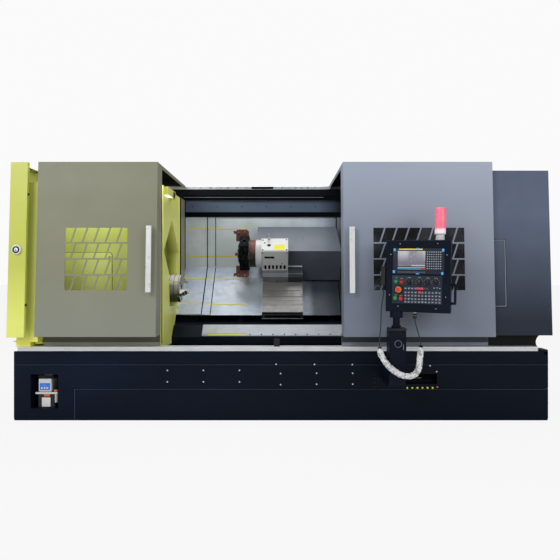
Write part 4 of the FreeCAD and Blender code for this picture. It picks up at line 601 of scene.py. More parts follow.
def box_outline(x0, x1, y0, y1, round_by=0.0):
    """Corners of a box, or the points of its rounded corners: a quarter of a ring at each."""
    if not round_by:
        return [(x0, y0), (x1, y0), (x1, y1), (x0, y1)]
    x0, x1, y0, y1 = x0 + round_by, x1 - round_by, y0 + round_by, y1 - round_by
    ring = ring_of(16, round_by) + [(round_by, 0)]
    return [(cx + x, cy + y) for cx, cy, first in ((x1, y1, 0), (x0, y1, 4), (x0, y0, 8), (x1, y0, 12))
            for x, y in ring[first:first + 5]]


screw_black = bare_metal("screw_black", "#1C1D20", "#0E0F11", 0.3, 0.7, 0.3, 0.4)
screw_zinc = bare_metal("screw_zinc", "#B9BCC0", "#85888C", 0.28, 0.9, 0.3, 0.3)
bright_zinc = bare_metal("bright_zinc", "#F4F6F8", "#C9CDD2", 0.4, 0.1, 0.3, 0.3)
# Light blue of the thin strips along the base's seams: a painted highlight on their edges.
seam_glint_blue = enamel("seam_edge_glint", "#4A5870", "#323E54", "#66748C", 0.35)
hollow = plastic("hollow_black", "#030304", 0.8, 0.02, "#060607").dull(0.05)
steel_trim = bare_metal("steel_trim", "#D6D8DB", "#A6AAB0", 0.3, 0.7, 0.4, 0.3, ALONG)
pale_plate = blank("pale_plate", "#E4E5E6", 0.4)
dark_trim = enamel("dark_trim", "#05070A", "#030406", "#090C11", 0.55).dull(0.06)
grey_trim = enamel("grey_trim", "#8C9098", "#7B8088", "#9BA0A8", 0.42)

# --- fittings: bare numbers are mm in the frame that stands first in the call
SUNK = -0.4                 # how deep the foot of a fitting stands in its surface
FILM = (-0.1, 0.15)         # a strip that lies on a surface
FRONT = on_wall(0)
base_bolts = Build("base_bolts", "root", "base_paint", bright_zinc)
base_bolts.screws(FRONT, grid((-908.8, -620.8, -332), (401.6, 309.6)) + [
    (-39.2, 450.4), (-3.2, 376), (-3.2, 287.2), (268, 449.6), (570.4, 447.2), (284.8, 378.4), (573.6, 378.4),
    (284.8, 291.2), (573.6, 291.2), (1192, 438.4), (1244.8, 391.2)], 5.5, 4.0)
seams = Build("base_seam_glints", "root", "base_paint", screw_black, seam_glint_blue)
seams.screws(FRONT, grid((750, 778), (372, 337, 303, 268)), 7.5, 4.0)
# Light strips just under the seams: painted glints along their edges.
seams.block(FRONT, (-1650, 2132), (249.4, 251.4), (SUNK, 0.8), 1)
seams.block(FRONT, (-2132, 2132), (444.4, 446.0), (SUNK, 0.6), 1)
seams.block(FRONT, (-1652.5, -1650), (16, 251.4), (SUNK, 0.8), 1)
top_edge = Build("base_top_edge", "root", "base_paint", navy)
top_edge.block(FRONT, (-2134, 2134), (546.5, 555), (-0.3, 1.2))
top_edge.block(FRONT, (2052, 2136.5), (495, 547.6), (-1449, SUNK))
top_edge.block(FRONT, (2070, 2136.5), (495, 566), (-120, SUNK), bevel=2.0)
floor_skirt = Build("base_floor_skirt_painted_shade_and_light", "root", "base_paint", navy)
floor_skirt.block(on_wall(0.5), (-2134, 2134), (1, 15.5), (-3, 0))
floor_skirt.block(on_wall(1447.5), (-2134, 2134), (1, 15.5), (0, 3))
for end in (-2132, 2132):
    floor_skirt.block(FRONT, (end - 1.5, end + 1.5), (1, 15.5), (-1446, -2))

SLOT_BACK = on_wall(60)
plugs = Build("sight_plugs", "root", "base_paint", sight_yellow, hollow, orange_cap, grey_trim)
plugs.block(SLOT_BACK, (996, 1244), (322, 368), (-1, 30), 1, 3.0)
plugs.block(SLOT_BACK, (1000, 1130), (333, 337), (29, 33), 3, 0.8)
for i in range(6):
    plugs.lathe(FRONT, [(8, -0.5), (8, 3), (6.5, 5), (0, 5.4)], centre=(1009.6 + 40.5 * i, 262))
plugs.lathe(FRONT, [(7.5, -0.5), (7.5, 4), (6, 6), (0, 6.6)], 2, centre=(1249.6, 268))

# --- ledge
LEDGE_TOP = basis((0, 595, 660), (1, 0, 0), BED_UP, BED_OUT)     # the tailstock's way, from its middle
ledge = Build("ledge_trim", "root", "way_steel", screw_black, yellow_tape)
ledge.screws(LEDGE_TOP, grid(range(-279, 640, 103), (-50,)), 6.5, 2.5)
ledge.block(LEDGE_TOP, (-657, -315), (-62, -50), (-0.5, 0.4), 1)
ledge.block(LEDGE_TOP, (-710, -300), (-48.5, -45), (SUNK, 0.5))

# --- way covers: stripes and lips, on the upright part and on the slope
cover_tape = Finish("cover_tape", "#FFF43A", 0.55).mottle("#B4AC60", 30, 0.58, 0.8, 0.6).satin(40, 0.08)
cover_tape.mottle("#E0D040", 7.0, 0.45, 0.7, 0.5, stretch=(0.4, 1, 1)).bump(300, 0.02)
for name, body, n, start, high_end, low_end, slope_end in (
        ("cover_marks_fixed", "root", 2.0, -983, -748, -748, -748),
        ("cover_marks_mid", "mid_cover", -4.0, -938, -666, -666, -666),
        ("cover_marks_wing", "carriage", -10.0, -858, -320, -425, -335)):
    stripes = Build(name, body, "cover_steel", cover_tape)
    for z, end in ((1622, high_end), (1342, low_end)):
        stripes.block(on_wall(FOLD_Y - n, z), (start, end), (-5.5, 5.5), FILM)
    for u in (164, 500):
        stripes.block(on_slope(u, n), (start, slope_end), (-6.5, 6.5), FILM)
for name, body, n, spans, low_z, low_u, out in (
        ("cover_lips", "root", 2.0, ((-756, -747), (562, 571)), 1236, -1, (-0.5, 3.0)),
        ("mid_cover_lip", "mid_cover", -4.0, ((-673, -665),), 1240, -3, FILM)):
    lips = Build(name, body, "cover_steel", dark_trim)
    for xs in spans:
        lips.block(on_wall(FOLD_Y - n), xs, (low_z, 1751), out)
        lips.block(on_slope(0, n), xs, (-634, low_u), out)

groove_line = blank("groove_line", "#5C5A58", 0.5)
for name, body, slot, n, first, last in (
        ("x_slat_1", "slat_1", "slat_steel", 75, 302, 396),
        ("x_slat_2", "slat_2", "slat_steel", 71, 345, 468),
        ("x_slat_3", "slat_3", "slat_steel", 67, 415, 570),
        ("saddle", "carriage", "saddle_steel", 63, 584, 654)):
    ribs = Build(name + "_ribs", body, slot, groove_line)
    for u in range(first, last, 13):
        ribs.block(on_slope(u, n), (-175, 203), (-0.8, 0.8), (-0.1, 0.1))

# --- back wall, bulkhead, work lamp
wall = Build("back_wall_trim", "root", "back_wall_paint", dark_trim, grey_trim, steel_trim, screw_black)
for y, xs, zs, out, material in (
        (1200, (-983, 1660), (1912, 1962), (-0.5, 2.5), 0),
        (1200, (-983, 430), (1938, 1942), (2.0, 6.0), 1),
        (1238, (-983, 1660), (1768, 1794), (-0.5, 5.0), 0),
        (1238, (-983, 1660), (1745, 1768), (-0.5, 1.0), 0),
        (1190, (-975, -300), (2026, 2046), (-0.5, 1.0), 2),
        (1190, (-78, 500), (2026, 2046), (-0.5, 1.0), 2),
        (1190, (-300, -78), (2024, 2047), (-0.5, 2.5), 0)):
    wall.block(on_wall(y), xs, zs, out, material)
wall.screws(on_wall(1238), grid(range(-900, 1600, 250), (1850,)), 6, 3, 3)

olive_trim = enamel("post_olive", "#8E8B74", "#7E7B65", "#9C9982", 0.45)
post = Build("bulkhead_post", "root", "bulkhead_paint", dark_trim, olive_trim)
POST_TOP = 1903
for y0, z0, y1, z1, out, material in (
        (926, 925, 965, 965, 4.0, 0), (965, 965, 1165, 1162, 6.0, 1),
        (1165, 1162, 1236, 1233, 3.0, 0)):
    post.plate(to_right(-976), [(y0, z0), (y1, z1), (y1, POST_TOP), (y0, POST_TOP)], -0.5, out, material)
GUARD = on_wall(136)
seal = Build("bulkhead_seal", "root", "bulkhead_paint", rubber)
seal.block(GUARD, (-985, -979), (600, 1904), (SUNK, 2.0), bevel=0.8)

lamp_case = Build("work_lamp_case", "root", "lamp_glass", lime_bulkhead)
for ys, zs, out, bevel in (
        ((-168, 168), (25, 33), (-1, 46), 2.0), ((-168, -158), (-33, 30), (-1, 46), 2.0),
        ((158, 168), (-33, 30), (-1, 46), 2.0), ((-166, 166), (-29, 31), (41.5, 44.5), 0.8),
        ((70, 168), (-33, 33), (-1, 44.5), 1.5)):
    lamp_case.block(to_right(-985, 340, 1864), ys, zs, out, 0, bevel)

# --- turret
def on_face(u):
    """Frame on a face that looks down the slope."""
    return basis((0, *on_bed(u, 0)), (1, 0, 0), BED_OUT, -BED_UP)


def on_disc(x):
    """Frame round the turret's axis, on a face that looks to the left."""
    return to_left(x, TURRET_Y, TURRET_Z)


rust = bare_metal("rusty_ring", "#141213", "#2B1917", 0.5, 0.1, 0.6, 0.7)
rust.topside("#7C4A42", 1.0, -0.1, 0.35).mottle("#8A564C", 30, 0.55, 0.8, 0.35)
foot_coat = bare_metal("foot_sheet", "#83858B", "#66686E", 0.4, 0.3, 0.5, 0.5, ALONG)
foot_shade = enamel("foot_shade", "#343A42", "#2A3037", "#404750", 0.5).dull(0.2)
housing = Build("turret_fittings", "cross_slide", "turret_paint", screw_black, hollow, yellow_tape, screw_zinc, rust,
                foot_shade, foot_coat)
housing.lathe(on_disc(0), [(127.5, 244), (130.5, 246), (130.5, 303), (127.5, 305)], 4, 56)
housing.screws(on_disc(-244), ring_of(12, 130.8, 0.13), 1.6, 1)
TOP_FACE = on_slope(0, 423)
housing.screws(TOP_FACE, [(-172, -61), (-156, -101), (52, -55), (52, -196), (-172, -196)], 7, 3)
housing.lathe(TOP_FACE, [(17, SUNK), (17, 2), (14, 3.5), (10, 3.5), (9, 0.6), (0, 0.4)], 0, 28, (-115, -134))
housing.panel(TOP_FACE, (-65, 35, -197, -125, 3), -0.3, 0.5, 2)
housing.lathe(TOP_FACE, [(13, -0.5), (13, 5), (8, 7), (8, 22), (0, 22)], 3, 20, (-115, -48))
EYE = basis((-115, *on_bed(48, 443)), (1, 0, 0), BED_OUT, -BED_UP)
housing.sweep(EYE, [(x, 16 + y, 0) for x, y in ring_of(20, 16) + [(16, 0)]], 5.5, 3)
FACE = on_face(214)
housing.panel(FACE, (-158, -65, 327, 351, 3), -0.3, 1.0)
housing.screws(FACE, [(10, 260), (-178, 400), (56, 400)], 6, 3)
half_turn = ring_of(16, 10.5)[:9]
for x in range(-151, 71, 37):
    port = [(x - a, 193 - b) for a, b in half_turn] + [(x + a, 226 + b) for a, b in half_turn]
    housing.plate(FACE, port, -11.5, 0.4, 1)
FOOT_FRONT, FOOT_EDGE, FOOT_TOP = on_face(285), on_wall(*on_bed(275, 157)), on_slope(0, 167)
for place, xs, ys, high, material in (
        (FOOT_EDGE, (-178, 68), (-14, 14), 1.8, 6), (FOOT_EDGE, (68.6, 204), (-14, 14), 2.6, 5),
        (FOOT_FRONT, (-177, 68), (80, 146), 2.0, 6),
        (FOOT_FRONT, (68.6, 204), (80, 146), 3.0, 5),
        (FOOT_TOP, (68.6, 204), (-263, -170), 3.0, 5),
        (FOOT_TOP, (-177, 68), (-263, -216), 1.5, 6)):
    housing.block(place, xs, ys, (SUNK, high), material)
housing.screws(FOOT_FRONT, [(-160, 100), (-40, 100), (50, 100)], 6, 4)
cover = Build("turret_cover_trim", "cross_slide", "turret_cover_paint", screw_black)
cover.screws(on_slope(0, 320), [(222, 84), (540, 84), (560, -60)], 3.5, 2)

disc = Build("turret_disc_fittings", "turret", "disc_steel", screw_black, screw_zinc)
disc.screws(on_disc(-411), ring_of(8, 74, 0.39), 8, 5)
disc.lathe(on_disc(-411), [(40, -0.5), (40, 6), (36, 8), (18, 8), (16, 3), (0, 2)], 1, 36)
disc.screws(on_disc(-395), ring_of(16, 142, 0.2), 6, 4)

tools = Build("tool_fittings", "turret", "holder_steel", screw_black, screw_zinc)
for station in (0, 4, 6):
    turn = Matrix.Rotation(math.tau / 8 * station, 4, "X")
    holder = Matrix.Translation((0, TURRET_Y, TURRET_Z)) @ turn
    for side in (-1, 1):
        face = holder @ basis((0, side * 38, 0), (-side, 0, 0), (0, 0, 1), (0, side, 0))
        tools.screws(face, [(side * x, 182) for x in (405, 375, 345)], 6.5, 5)
        tools.screws(face, [(side * 352, 210), (side * 410, 205)], 5, 4, 1)
    tools.screws(out_by(holder, 228), grid((-400, -372, -344), (-20, 20)), 6.5, 5)
    tools.block(holder, (-466, -450), (-8, 8), (206, 213), 1, 1.0)

nose = Build("saddle_nose", "carriage", "saddle_steel", slat, dark_trim, screw_zinc)
nose.block(on_slope(0, 63), (-177, 204), (-662, -575), (-0.3, 0.15))
nose.block(on_slope(0, 63), (-177, 204), (-695.5, -662), (-0.3, 1.0), 1)
nose.block(on_face(696), (-177, 204), (20, 62), (SUNK, 1.5), 1)
nose.screws(on_face(697), [(-160, 40), (187, 40)], 6, 4, 2)

# --- pendant
panel_grey = enamel("panel_face", "#242C3C", "#1D2432", "#2D3749", 0.42, 0.04).dull(0.25)
panel_edge = plastic("panel_edge", "#080A0F", 0.35, 0.03, "#10131A")
key_cap = plastic("key_cap", "#4A5262", 0.45, 0.03, "#5C6577")
mark_white = blank("mark_white", "#C4C8D0", 0.5)
clip_blue = plastic("clip_blue", "#4FB6EE", 0.35, 0.02, "#7CCBF4")
lamp_red = plastic("lamp_red", "#E2405A", 0.3, 0.02, "#F06A7E")
lamp_green = plastic("lamp_green", "#2FA86A", 0.3, 0.02, "#55C388")
screen = Finish("screen_face", "#6F6D7E", 0.15).fade("#BDBAC2", Z, 1.26, 1.335, 0.9)
screen.mottle("#6C6B7B", 13, 0.45, 0.7, 0.8, stretch=(1, 1, 0.5)).mottle("#C9C0B0", 22, 0.56, 0.75, 0.5)
screen.satin(8, 0.05).lit(0.35).bump(200, 0.005)
CASE = on_case(0, 0)
PANEL, BLACK, KEY, WHITE, BLUE, RED, GREEN, SCREEN, YELLOW = range(9)
desk = Build("pendant_panel", "pendant", "pendant_paint", panel_grey, panel_edge, key_cap, mark_white, clip_blue,
             lamp_red, lamp_green, screen, yellow_tape)
for box, low, high, material, bevel in (
        ((-182, 188, 16, 205, 6), -2.6, -1.0, PANEL, 0.4),
        ((-186, 175, -204, 5, 6), -2.1, -0.8, PANEL, 0.4),
        ((-150, 57, 42, 190, 4), -1.4, 0.3, BLACK, 0.4),
        ((-146, 53, 73, 186, 2), 0.2, 0.7, SCREEN, 0),
        ((-139, 33, 194, 203, 1.5), -1.1, -0.4, YELLOW, 0),
        ((-146, 53, 61, 66, 1), 0.2, 0.8, WHITE, 0),
        ((-46, 51, 74, 83, 1), 0.6, 1.0, WHITE, 0),
        ((-144, -106, 176, 185, 1), 0.6, 1.0, WHITE, 0),
        ((-146, 20, 50, 56, 1), 0.2, 0.8, BLUE, 0),
        ((20, 53, 50, 56, 1), 0.2, 0.8, RED, 0)):
    desk.panel(CASE, box, low, high, material, bevel)
desk.tiles(CASE, [(-137.5 + 16.6 * i, 29) for i in range(12)], (6.5, 6, 2), -1.4, 1.4, KEY, 0.6)
for row in range(8):
    for column in range(7):
        x, z = 68 + 15.6 * column, 178 - 17.2 * row
        desk.tiles(CASE, [(x, z)], (5.6, 6.2, 1.5), -1.4, 1.8, KEY, 0.6)
        desk.panel(CASE, (x - 4, x + 4 - (row * column) % 4, z - 2.2, z + 2.0), 1.7, 2.0, WHITE)
desk.tiles(CASE, [(-170, 194), (178, 192), (-174, 31), (174, 23)], (8, 10, 2), -1.2, 1.6, BLUE, 0.5)
desk.tiles(CASE, [(-2, 203), (-2, 18)], (12, 4, 2), -1.2, 1.2, BLUE, 0.5)
for x in (-61, 12, 72, 129):
    for k in range(9):
        tick = CASE @ Matrix.Translation((x, -42, 0)) @ Matrix.Rotation(math.radians(120 - 30 * k), 4, "Z")
        desk.panel(tick, (-0.8, 0.8, 23.5, 27.5), -1.0, -0.4, WHITE)
for x, z in ((-156, -14), (-117, -17), (-61, -10), (12, -8), (72, -11), (129, -12), (-157, -142), (-120, -144)):
    desk.tiles(CASE, [(x - 6.5 + 7 * k, z) for k in range(3)], (2.5, 1.2), -1.0, -0.5, WHITE)
KEY_LAMPS = {(1, 4): RED, (0, 1): WHITE, (2, 9): GREEN, (3, 1): GREEN, (3, 7): BLUE, (1, 9): WHITE, (2, 3): GREEN,
             (4, 5): WHITE}         # by row and column
for row, (z, count) in enumerate(((-90, 6), (-119, 11), (-143, 11), (-167, 11), (-189, 11))):
    for column in range(count):
        x = -86 + 24.4 * column
        desk.tiles(CASE, [(x, z)], (9.5, 8.2, 2), -1.2, 1.8, KEY, 0.7)
        desk.panel(CASE, (x - 6, x + 5 - (column + row) % 4, z - 4, z + 0.2), 1.7, 2.0, WHITE)
        if (row, column) in KEY_LAMPS:
            desk.panel(CASE, (x + 1, x + 6, z + 2, z + 6, 1), 1.7, 2.2, KEY_LAMPS[row, column])
desk.tiles(CASE, [(2, -90), (31, -91), (15, -119)], (10, 8, 3), 1.0, 3.2, RED, 0.8)
desk.tiles(CASE, [(52, -90.5), (62, -90.5), (72, -90.5)], (3.5, 5.5, 2), -1.2, 1.6, KEY, 0.4)
desk.tiles(CASE, [(118, -84), (140, -82), (158, -86)], (5, 2, 1), -1.0, -0.4, WHITE)
desk.screws(CASE, [(-130, 238), (140, 240), (-198, 160), (205, 158), (-205, -142), (200, -148), (-140, -225),
                   (132, -234)], 3.2, 2.0, WHITE)

STOP = (-139, -101)
rings = Build("pendant_rings", "pendant", "pendant_paint", yellow_ring, panel_edge, green_cap, red_cap, grey_trim)
rings.lathe(CASE, [(23.4, 3.6), (23.4, 5.2), (22, 6.4), (15.5, 6.4), (15, 3.6)], 0, 40, STOP)
for x, z, cap in ((-161, -165, 2), (-120, -167, 3)):
    rings.lathe(CASE, [(14.2, 3), (14.2, 12.4), (12.5, 14), (0, 14.6)], cap, 32, (x, z))
    rings.lathe(CASE, [(18, -0.8), (18, 4), (16, 5), (14.2, 5)], 1, 32, (x, z))
for spot in ((-156, -41), (-117, -44)):
    rings.lathe(CASE, [(18.5, -0.8), (18.5, 2), (17, 3), (15.6, 3), (15.6, -0.8)], 4, 32, spot)
for x, z in ((-61, -42), (72, -42), (129, -42)):
    rings.lathe(CASE, [(20, -0.8), (19, 3), (16, 4.5), (15.2, 18), (13.5, 20), (0, 20.4)], 1, 32, (x, z))
    rings.block(CASE, (x - 2.5, x + 2.5), (z - 13, z + 13), (18, 25), 1, 0.8)
    rings.block(CASE, (x - 0.8, x + 0.8), (z + 3, z + 13), (24.8, 25.4), 4)
collar = Build("estop_collar", "estop", "estop_plastic", yellow_ring)
collar.lathe(CASE, [(19.6, 13.8), (20.7, 14.5), (20.7, 25.6), (18.2, 28.4), (17.4, 28.2)], 0, 40, STOP)
knob_mark = Build("feed_knob_mark", "feed_knob", "knob_plastic", mark_white)
knob_mark.block(CASE, (11.1, 12.9), (-40, -29), (21.6, 22.4))

plug = Build("pendant_connector", "pendant", "pendant_paint", pale_plate, panel_edge)
PLUG = basis((994, -318, 862), (1, 0, 0), (0, -1, 0), (0, 0, -1))
plug.lathe(PLUG, [(4.5, -36), (15, -36), (15, -28), (13, -27), (13, -20), (14.5, -18), (14.5, -6), (12, -4),
                  (4.5, -4)])
plug.lathe(PLUG, [(4.3, -8), (9, -6), (13.5, -1), (15.5, 6), (14.5, 13), (10, 19), (4.3, 22)], 1)
signal = Build("signal_sleeve", "pendant", "signal_plastic", white_plastic)
SIGNAL = on_case(150, 267, -75) @ Matrix.Rotation(math.radians(-90), 4, "X")
signal.lathe(SIGNAL, [(30.3, 3), (33, 3), (33, 14), (31, 16), (31, 40), (36, 44), (41, 45), (41, 52), (40.2, 53)],
             0, 40)
column = Build("column_fittings", "root", "column_paint", panel_edge, screw_black, grey_trim)
COLUMN = on_wall(-325, 0, 867)
column.lathe(COLUMN, [(27, SUNK), (27, 0.8), (24, 0.8), (24, SUNK)], 2, 40, (3, 655))
column.screws(COLUMN, grid((-48, 48), (748, 560)), 7, 4, 1)
column.block(COLUMN, (40, 44), (610, 650), (SUNK, 1.2), 2)
column.block(COLUMN, (-66, 66), (752, 771), (-1, 3), bevel=1.0)

# --- lubrication unit
label_blue = blank("label_blue", "#1E86EA", 0.3)
unit = Build("lube_fittings", "root", "lube_plastic", label_blue, white_plastic, orange_cap, pale_plate, screw_black)
UNIT, SHELF = on_wall(40), on_wall(24)
unit.panel(UNIT, (-1947, -1863, 236, 292, 4), SUNK, 1.2, 0, 0.4)
unit.panel(UNIT, (-1918, -1892, 268, 276, 2), 1.0, 1.7, 2)
unit.tiles(UNIT, [(-1930, 252), (-1908, 252), (-1886, 252)], (7, 6, 2), 1.0, 1.7, 3)
unit.panel(UNIT, (-1954, -1854, 226, 326, 5), -0.3, 0.5, 1)
unit.panel(UNIT, (-1957, -1851, 329, 354, 3), -0.3, 0.9, 4)
unit.block(SHELF, (-1973, -1796), (207, 222), (-2, 4), 1, 1.5)
unit.block(SHELF, (-1905, -1858), (188, 206), (-12, 3), 2, 2.0)
unit.panel(on_wall(34), (-1925, -1856, 104, 178, 4), -3, 6, 3, 0.5)
TUBE = Matrix.Translation((-1815, 44, 0))
unit.lathe(TUBE, [(0, 134), (11, 135), (14, 140), (14, 205), (16, 208), (16, 220), (0, 220)], 1, 28)
unit.lathe(TUBE, [(18, 219), (19, 222), (19, 236), (16, 240), (0, 241)], 2, 20)
unit.sweep(Matrix.Identity(4), [(-1870, 120, 235), (-1850, 112, 232), (-1832, 130, 250), (-1820, 160, 290),
                                (-1812, 196, 330)], 4, 4)

# --- guard, left foot, end cover
def sheet_cover(piece, place, box, dark, gap=2, rim=0.5, high=2.4):
    """Screwed-on sheet in the piece's first material, over a dark gap that shows as a line round it."""
    x0, x1, y0, y1, round_by = box
    piece.panel(place, (x0 - gap, x1 + gap, y0 - gap, y1 + gap, round_by + 2), SUNK, rim, dark)
    piece.panel(place, box, SUNK, high, 0, 0.8)


guard = Build("guard_access_panel", "root", "guard_paint", lime_guard, screw_black, hollow)
sheet_cover(guard, GUARD, (-1900, -1393, 600, 1347, 25), 2, 4, 0.3)
guard.screws(GUARD, grid((-1880, -1413), (640, 970, 1310)), 7, 5.5, 1)
FOOT = on_wall(84)
gusset = Build("left_foot_gusset", "root", "guard_paint", lime_guard, dark_trim, screw_black)
gusset.block(FOOT, (-2000, -1926), (547.5, 700), (-4, 0), 1)
gusset.plate(FOOT, [(-1998, 600), (-1928, 604), (-1928, 612), (-1998, 656)], -0.3, 14, 0, 0.8)
gusset.screws(FOOT, [(-1980, 575), (-1945, 575)], 7, 4, 2)
lock = Build("end_lock_fittings", "end_lock", "lock_metal", chrome, hollow)
LOCK = on_front(-2072, 1362)
lock.lathe(LOCK, [(27, 13), (27, 16.4), (16, 16.4), (16, 13)], 1, 40)
lock.lathe(LOCK, [(36, 12.6), (36.4, 15), (34, 17.6), (28, 17.6), (27, 13)], 0, 40)
lock.lathe(LOCK, [(16, 13), (16, 18), (14, 19), (0, 19.2)], 0, 40)
lock.block(LOCK, (-2, 2), (-10, 10), (18.8, 19.6), 1)
buffers = Build("end_cover_buffers", "end_cover", "end_door_paint", rubber)
for z in (1803, 929):
    buffers.lathe(to_right(-2002, front_y(z) + 16, z), [(9, -0.5), (9, 7), (7, 9), (0, 9.5)], 0, 20)
inlet = Build("bar_inlet_ring", "end_cover", "end_door_paint", dark_trim, screw_black)
INLET = out_by(AXIS_LEFT, 2148)
inlet.lathe(INLET, [(61, SUNK), (61, 3.5), (64, 4.5), (80, 4.5), (83, 2.5), (83, SUNK)], 0, 48)
inlet.screws(out_by(INLET, 4.2), ring_of(6, 72), 4, 2.5, 1)

# --- hoods: skirt strips of painted shade and painted light, a dark sheet of painted shade under the roof, and roof ribs of both doors
def hood(side, coat, outer, inner, open_edge, out, dark, light):
    """Trim of one hood, between two places along X; out is the way its open end looks."""
    body, slot = side + "_door", side + "_door_paint"
    skirt, along = Build(side + "_skirt_painted_shade_and_light", body, slot, dark, light), (outer[0] + 2, outer[1] - 2)
    # The skirt's two strips are copies of the door paint: the dark one is painted shade under the door, the light one
    # painted light on its lip.
    skirt.block(SKIRT, along, (622, 680), (SUNK, 1.5))
    skirt.block(SKIRT, along, (593, 614), (SUNK, 2.5), 1, 0.6)
    shade_sheet_and_screws = Build(side + "_hood_shade_sheet_and_screws", body, slot, dark_trim, hollow)
    # Dark sheet under the roof: painted shade, where the roof's underside is in shade.
    shade_sheet_and_screws.block(Matrix.Translation((0, 0, 2056)), inner, (20, 1180), (-6, 0.3))
    lip = basis((open_edge, 0, 0), (0, out, 0), (0, 0, 1), (out, 0, 0))
    shade_sheet_and_screws.screws(lip, [(out * y, 2046) for y in range(30, 1200, 36)], 3.2, 1.0, 1)
    roof = Build(side + "_roof", body, slot, coat, screw_black)
    for share in (0.3, 0.7):
        middle = outer[0] + (outer[1] - outer[0]) * share
        roof.panel(ROOF, (middle - 30, middle + 30, 60, 1180, 12), SUNK, 5.0, 0, 1.6)
        roof.screws(out_by(ROOF, 4.8), [(middle, y) for y in range(100, 1180, 260)], 6, 3.5, 1)


SKIRT, ROOF = on_wall(41), Matrix.Translation((0, 0, 2060))
# Each hood gets a dark and a light copy of its door paint for the skirt: painted shade and painted light.
hood("left", olive, (-1920, -975), (-1905, -984), -975, 1,
     enamel("skirt_olive", "#4A4A3C", "#3E3E31", "#555546", 0.45),
     enamel("skirt_olive_light", "#9A9A86", "#8B8B77", "#A9A996", 0.42))
hood("right", grey_door, (490, 1672), (499, 1662), 490, -1,
     enamel("skirt_grey", "#1F242E", "#191D26", "#272D38", 0.42),
     enamel("skirt_grey_light", "#8991A0", "#7B8392", "#979FAE", 0.42))

# --- spindle, motor, tailstock
chuck = Build("chuck_rings", "spindle", "chuck_steel", dark_trim, screw_black, chuck_metal)
for x in (-1004, -962, -921):
    chuck.lathe(AXIS_RIGHT, [(124.4, x - 1.8), (125.5, x - 1.8), (125.5, x + 1.8), (124.4, x + 1.8)], 0, 64)
chuck.lathe(AXIS_RIGHT, [(124.4, -990), (126.2, -989), (126.2, -976), (124.4, -975)], 2, 64)
CHUCK_FACE = out_by(AXIS_RIGHT, -911)
chuck.screws(CHUCK_FACE, ring_of(3, 96, math.radians(30)), 8.5, 3.0, 1)
chuck.screws(CHUCK_FACE, ring_of(3, 68, math.radians(30)), 5.5, 2.0, 1)
pulley = Build("spindle_pulley_screws", "spindle", "pulley_iron", screw_zinc)
pulley.screws(out_by(AXIS_LEFT, 1960), ring_of(6, 112), 7, 5)
pulley = Build("motor_pulley_screws", "motor_shaft", "pulley_iron", screw_zinc)
pulley.screws(to_left(-1960, 330, 725), ring_of(4, 62), 6, 4)
cap = Build("headstock_bearing_cap", "root", "head_iron", way_steel, screw_black)
CAP = out_by(AXIS_LEFT, 1850)
cap.lathe(CAP, [(150, -0.5), (150, 12), (146, 15), (88, 15), (85, 12), (85, -0.5)], 0, 56)
cap.screws(out_by(CAP, 14.8), ring_of(8, 134), 7, 5, 1)
tail = Build("tailstock_fittings", "tailstock", "tail_iron", steel_trim, screw_black, dark_trim)
TAIL_NOSE, TAIL_END = out_by(AXIS_LEFT, -900), out_by(AXIS_RIGHT, 1230)
tail.lathe(TAIL_NOSE, [(92, -0.5), (92, 7), (89, 9), (61, 9), (58, 7), (58, -0.5)], 0, 56)
tail.screws(out_by(TAIL_NOSE, 8.8), ring_of(8, 76, 0.39), 5.5, 4, 1)
tail.lathe(TAIL_END, [(70, -0.5), (70, 10), (66, 14), (0, 14)], 2, 48)
tail.screws(TAIL_END, ring_of(6, 92, 0.2), 6, 5, 1)

# --- tail cabinet, back, switch cabinet
def louvres(piece, place, x0, x1, spots, dark):
    """Pressed air slots: a slanted blade over a dark gap, at each height."""
    across = place @ Matrix(((0, 0, 1, 0), (1, 0, 0, 0), (0, 1, 0, 0), (0, 0, 0, 1)))   # its z is the place's x
    for low in spots:
        blade = [(low, SUNK), (low, 6.5), (low + 1.4, 7.0), (low + 14, 0.6), (low + 14, SUNK)]
        piece.plate(across, blade, x0, x1)
        piece.block(place, (x0 + 3, x1 - 3), (low - 5, low + 0.3), (SUNK, 0.5), dark)


cabinet = Build("cabinet_cover", "root", "cabinet_paint", slate, dark_trim, grey_trim, screw_black)
CABINET = on_front(0, 1180, 50)
for right, half, round_by, high, material, bevel in (
        (1784, 270, 4, 0.4, 1, 0), (1779, 265, 4, 1.6, 2, 0.4),
        (1773, 259, 3, 2.2, 1, 0), (1771, 257, 3, 2.8, 0, 0)):
    cabinet.panel(CABINET, (1680, right, -half, half, round_by), SUNK, high, material, bevel)
cabinet.screws(CABINET, [(1762, -245), (1762, 245), (1762, 0)], 4, 2.5, 3)
flank = Build("cabinet_side_panel", "root", "cabinet_paint", slate, dark_trim, screw_zinc)
FLANK = to_right(2137)
sheet_cover(flank, FLANK, (160, 1160, 670, 1840, 18), 1)
louvres(flank, out_by(FLANK, 2.4), 460, 860, range(760, 1000, 26), 1)
flank.screws(out_by(FLANK, 2.2), grid((190, 1130), (700, 1255, 1810)), 7, 4, 2)

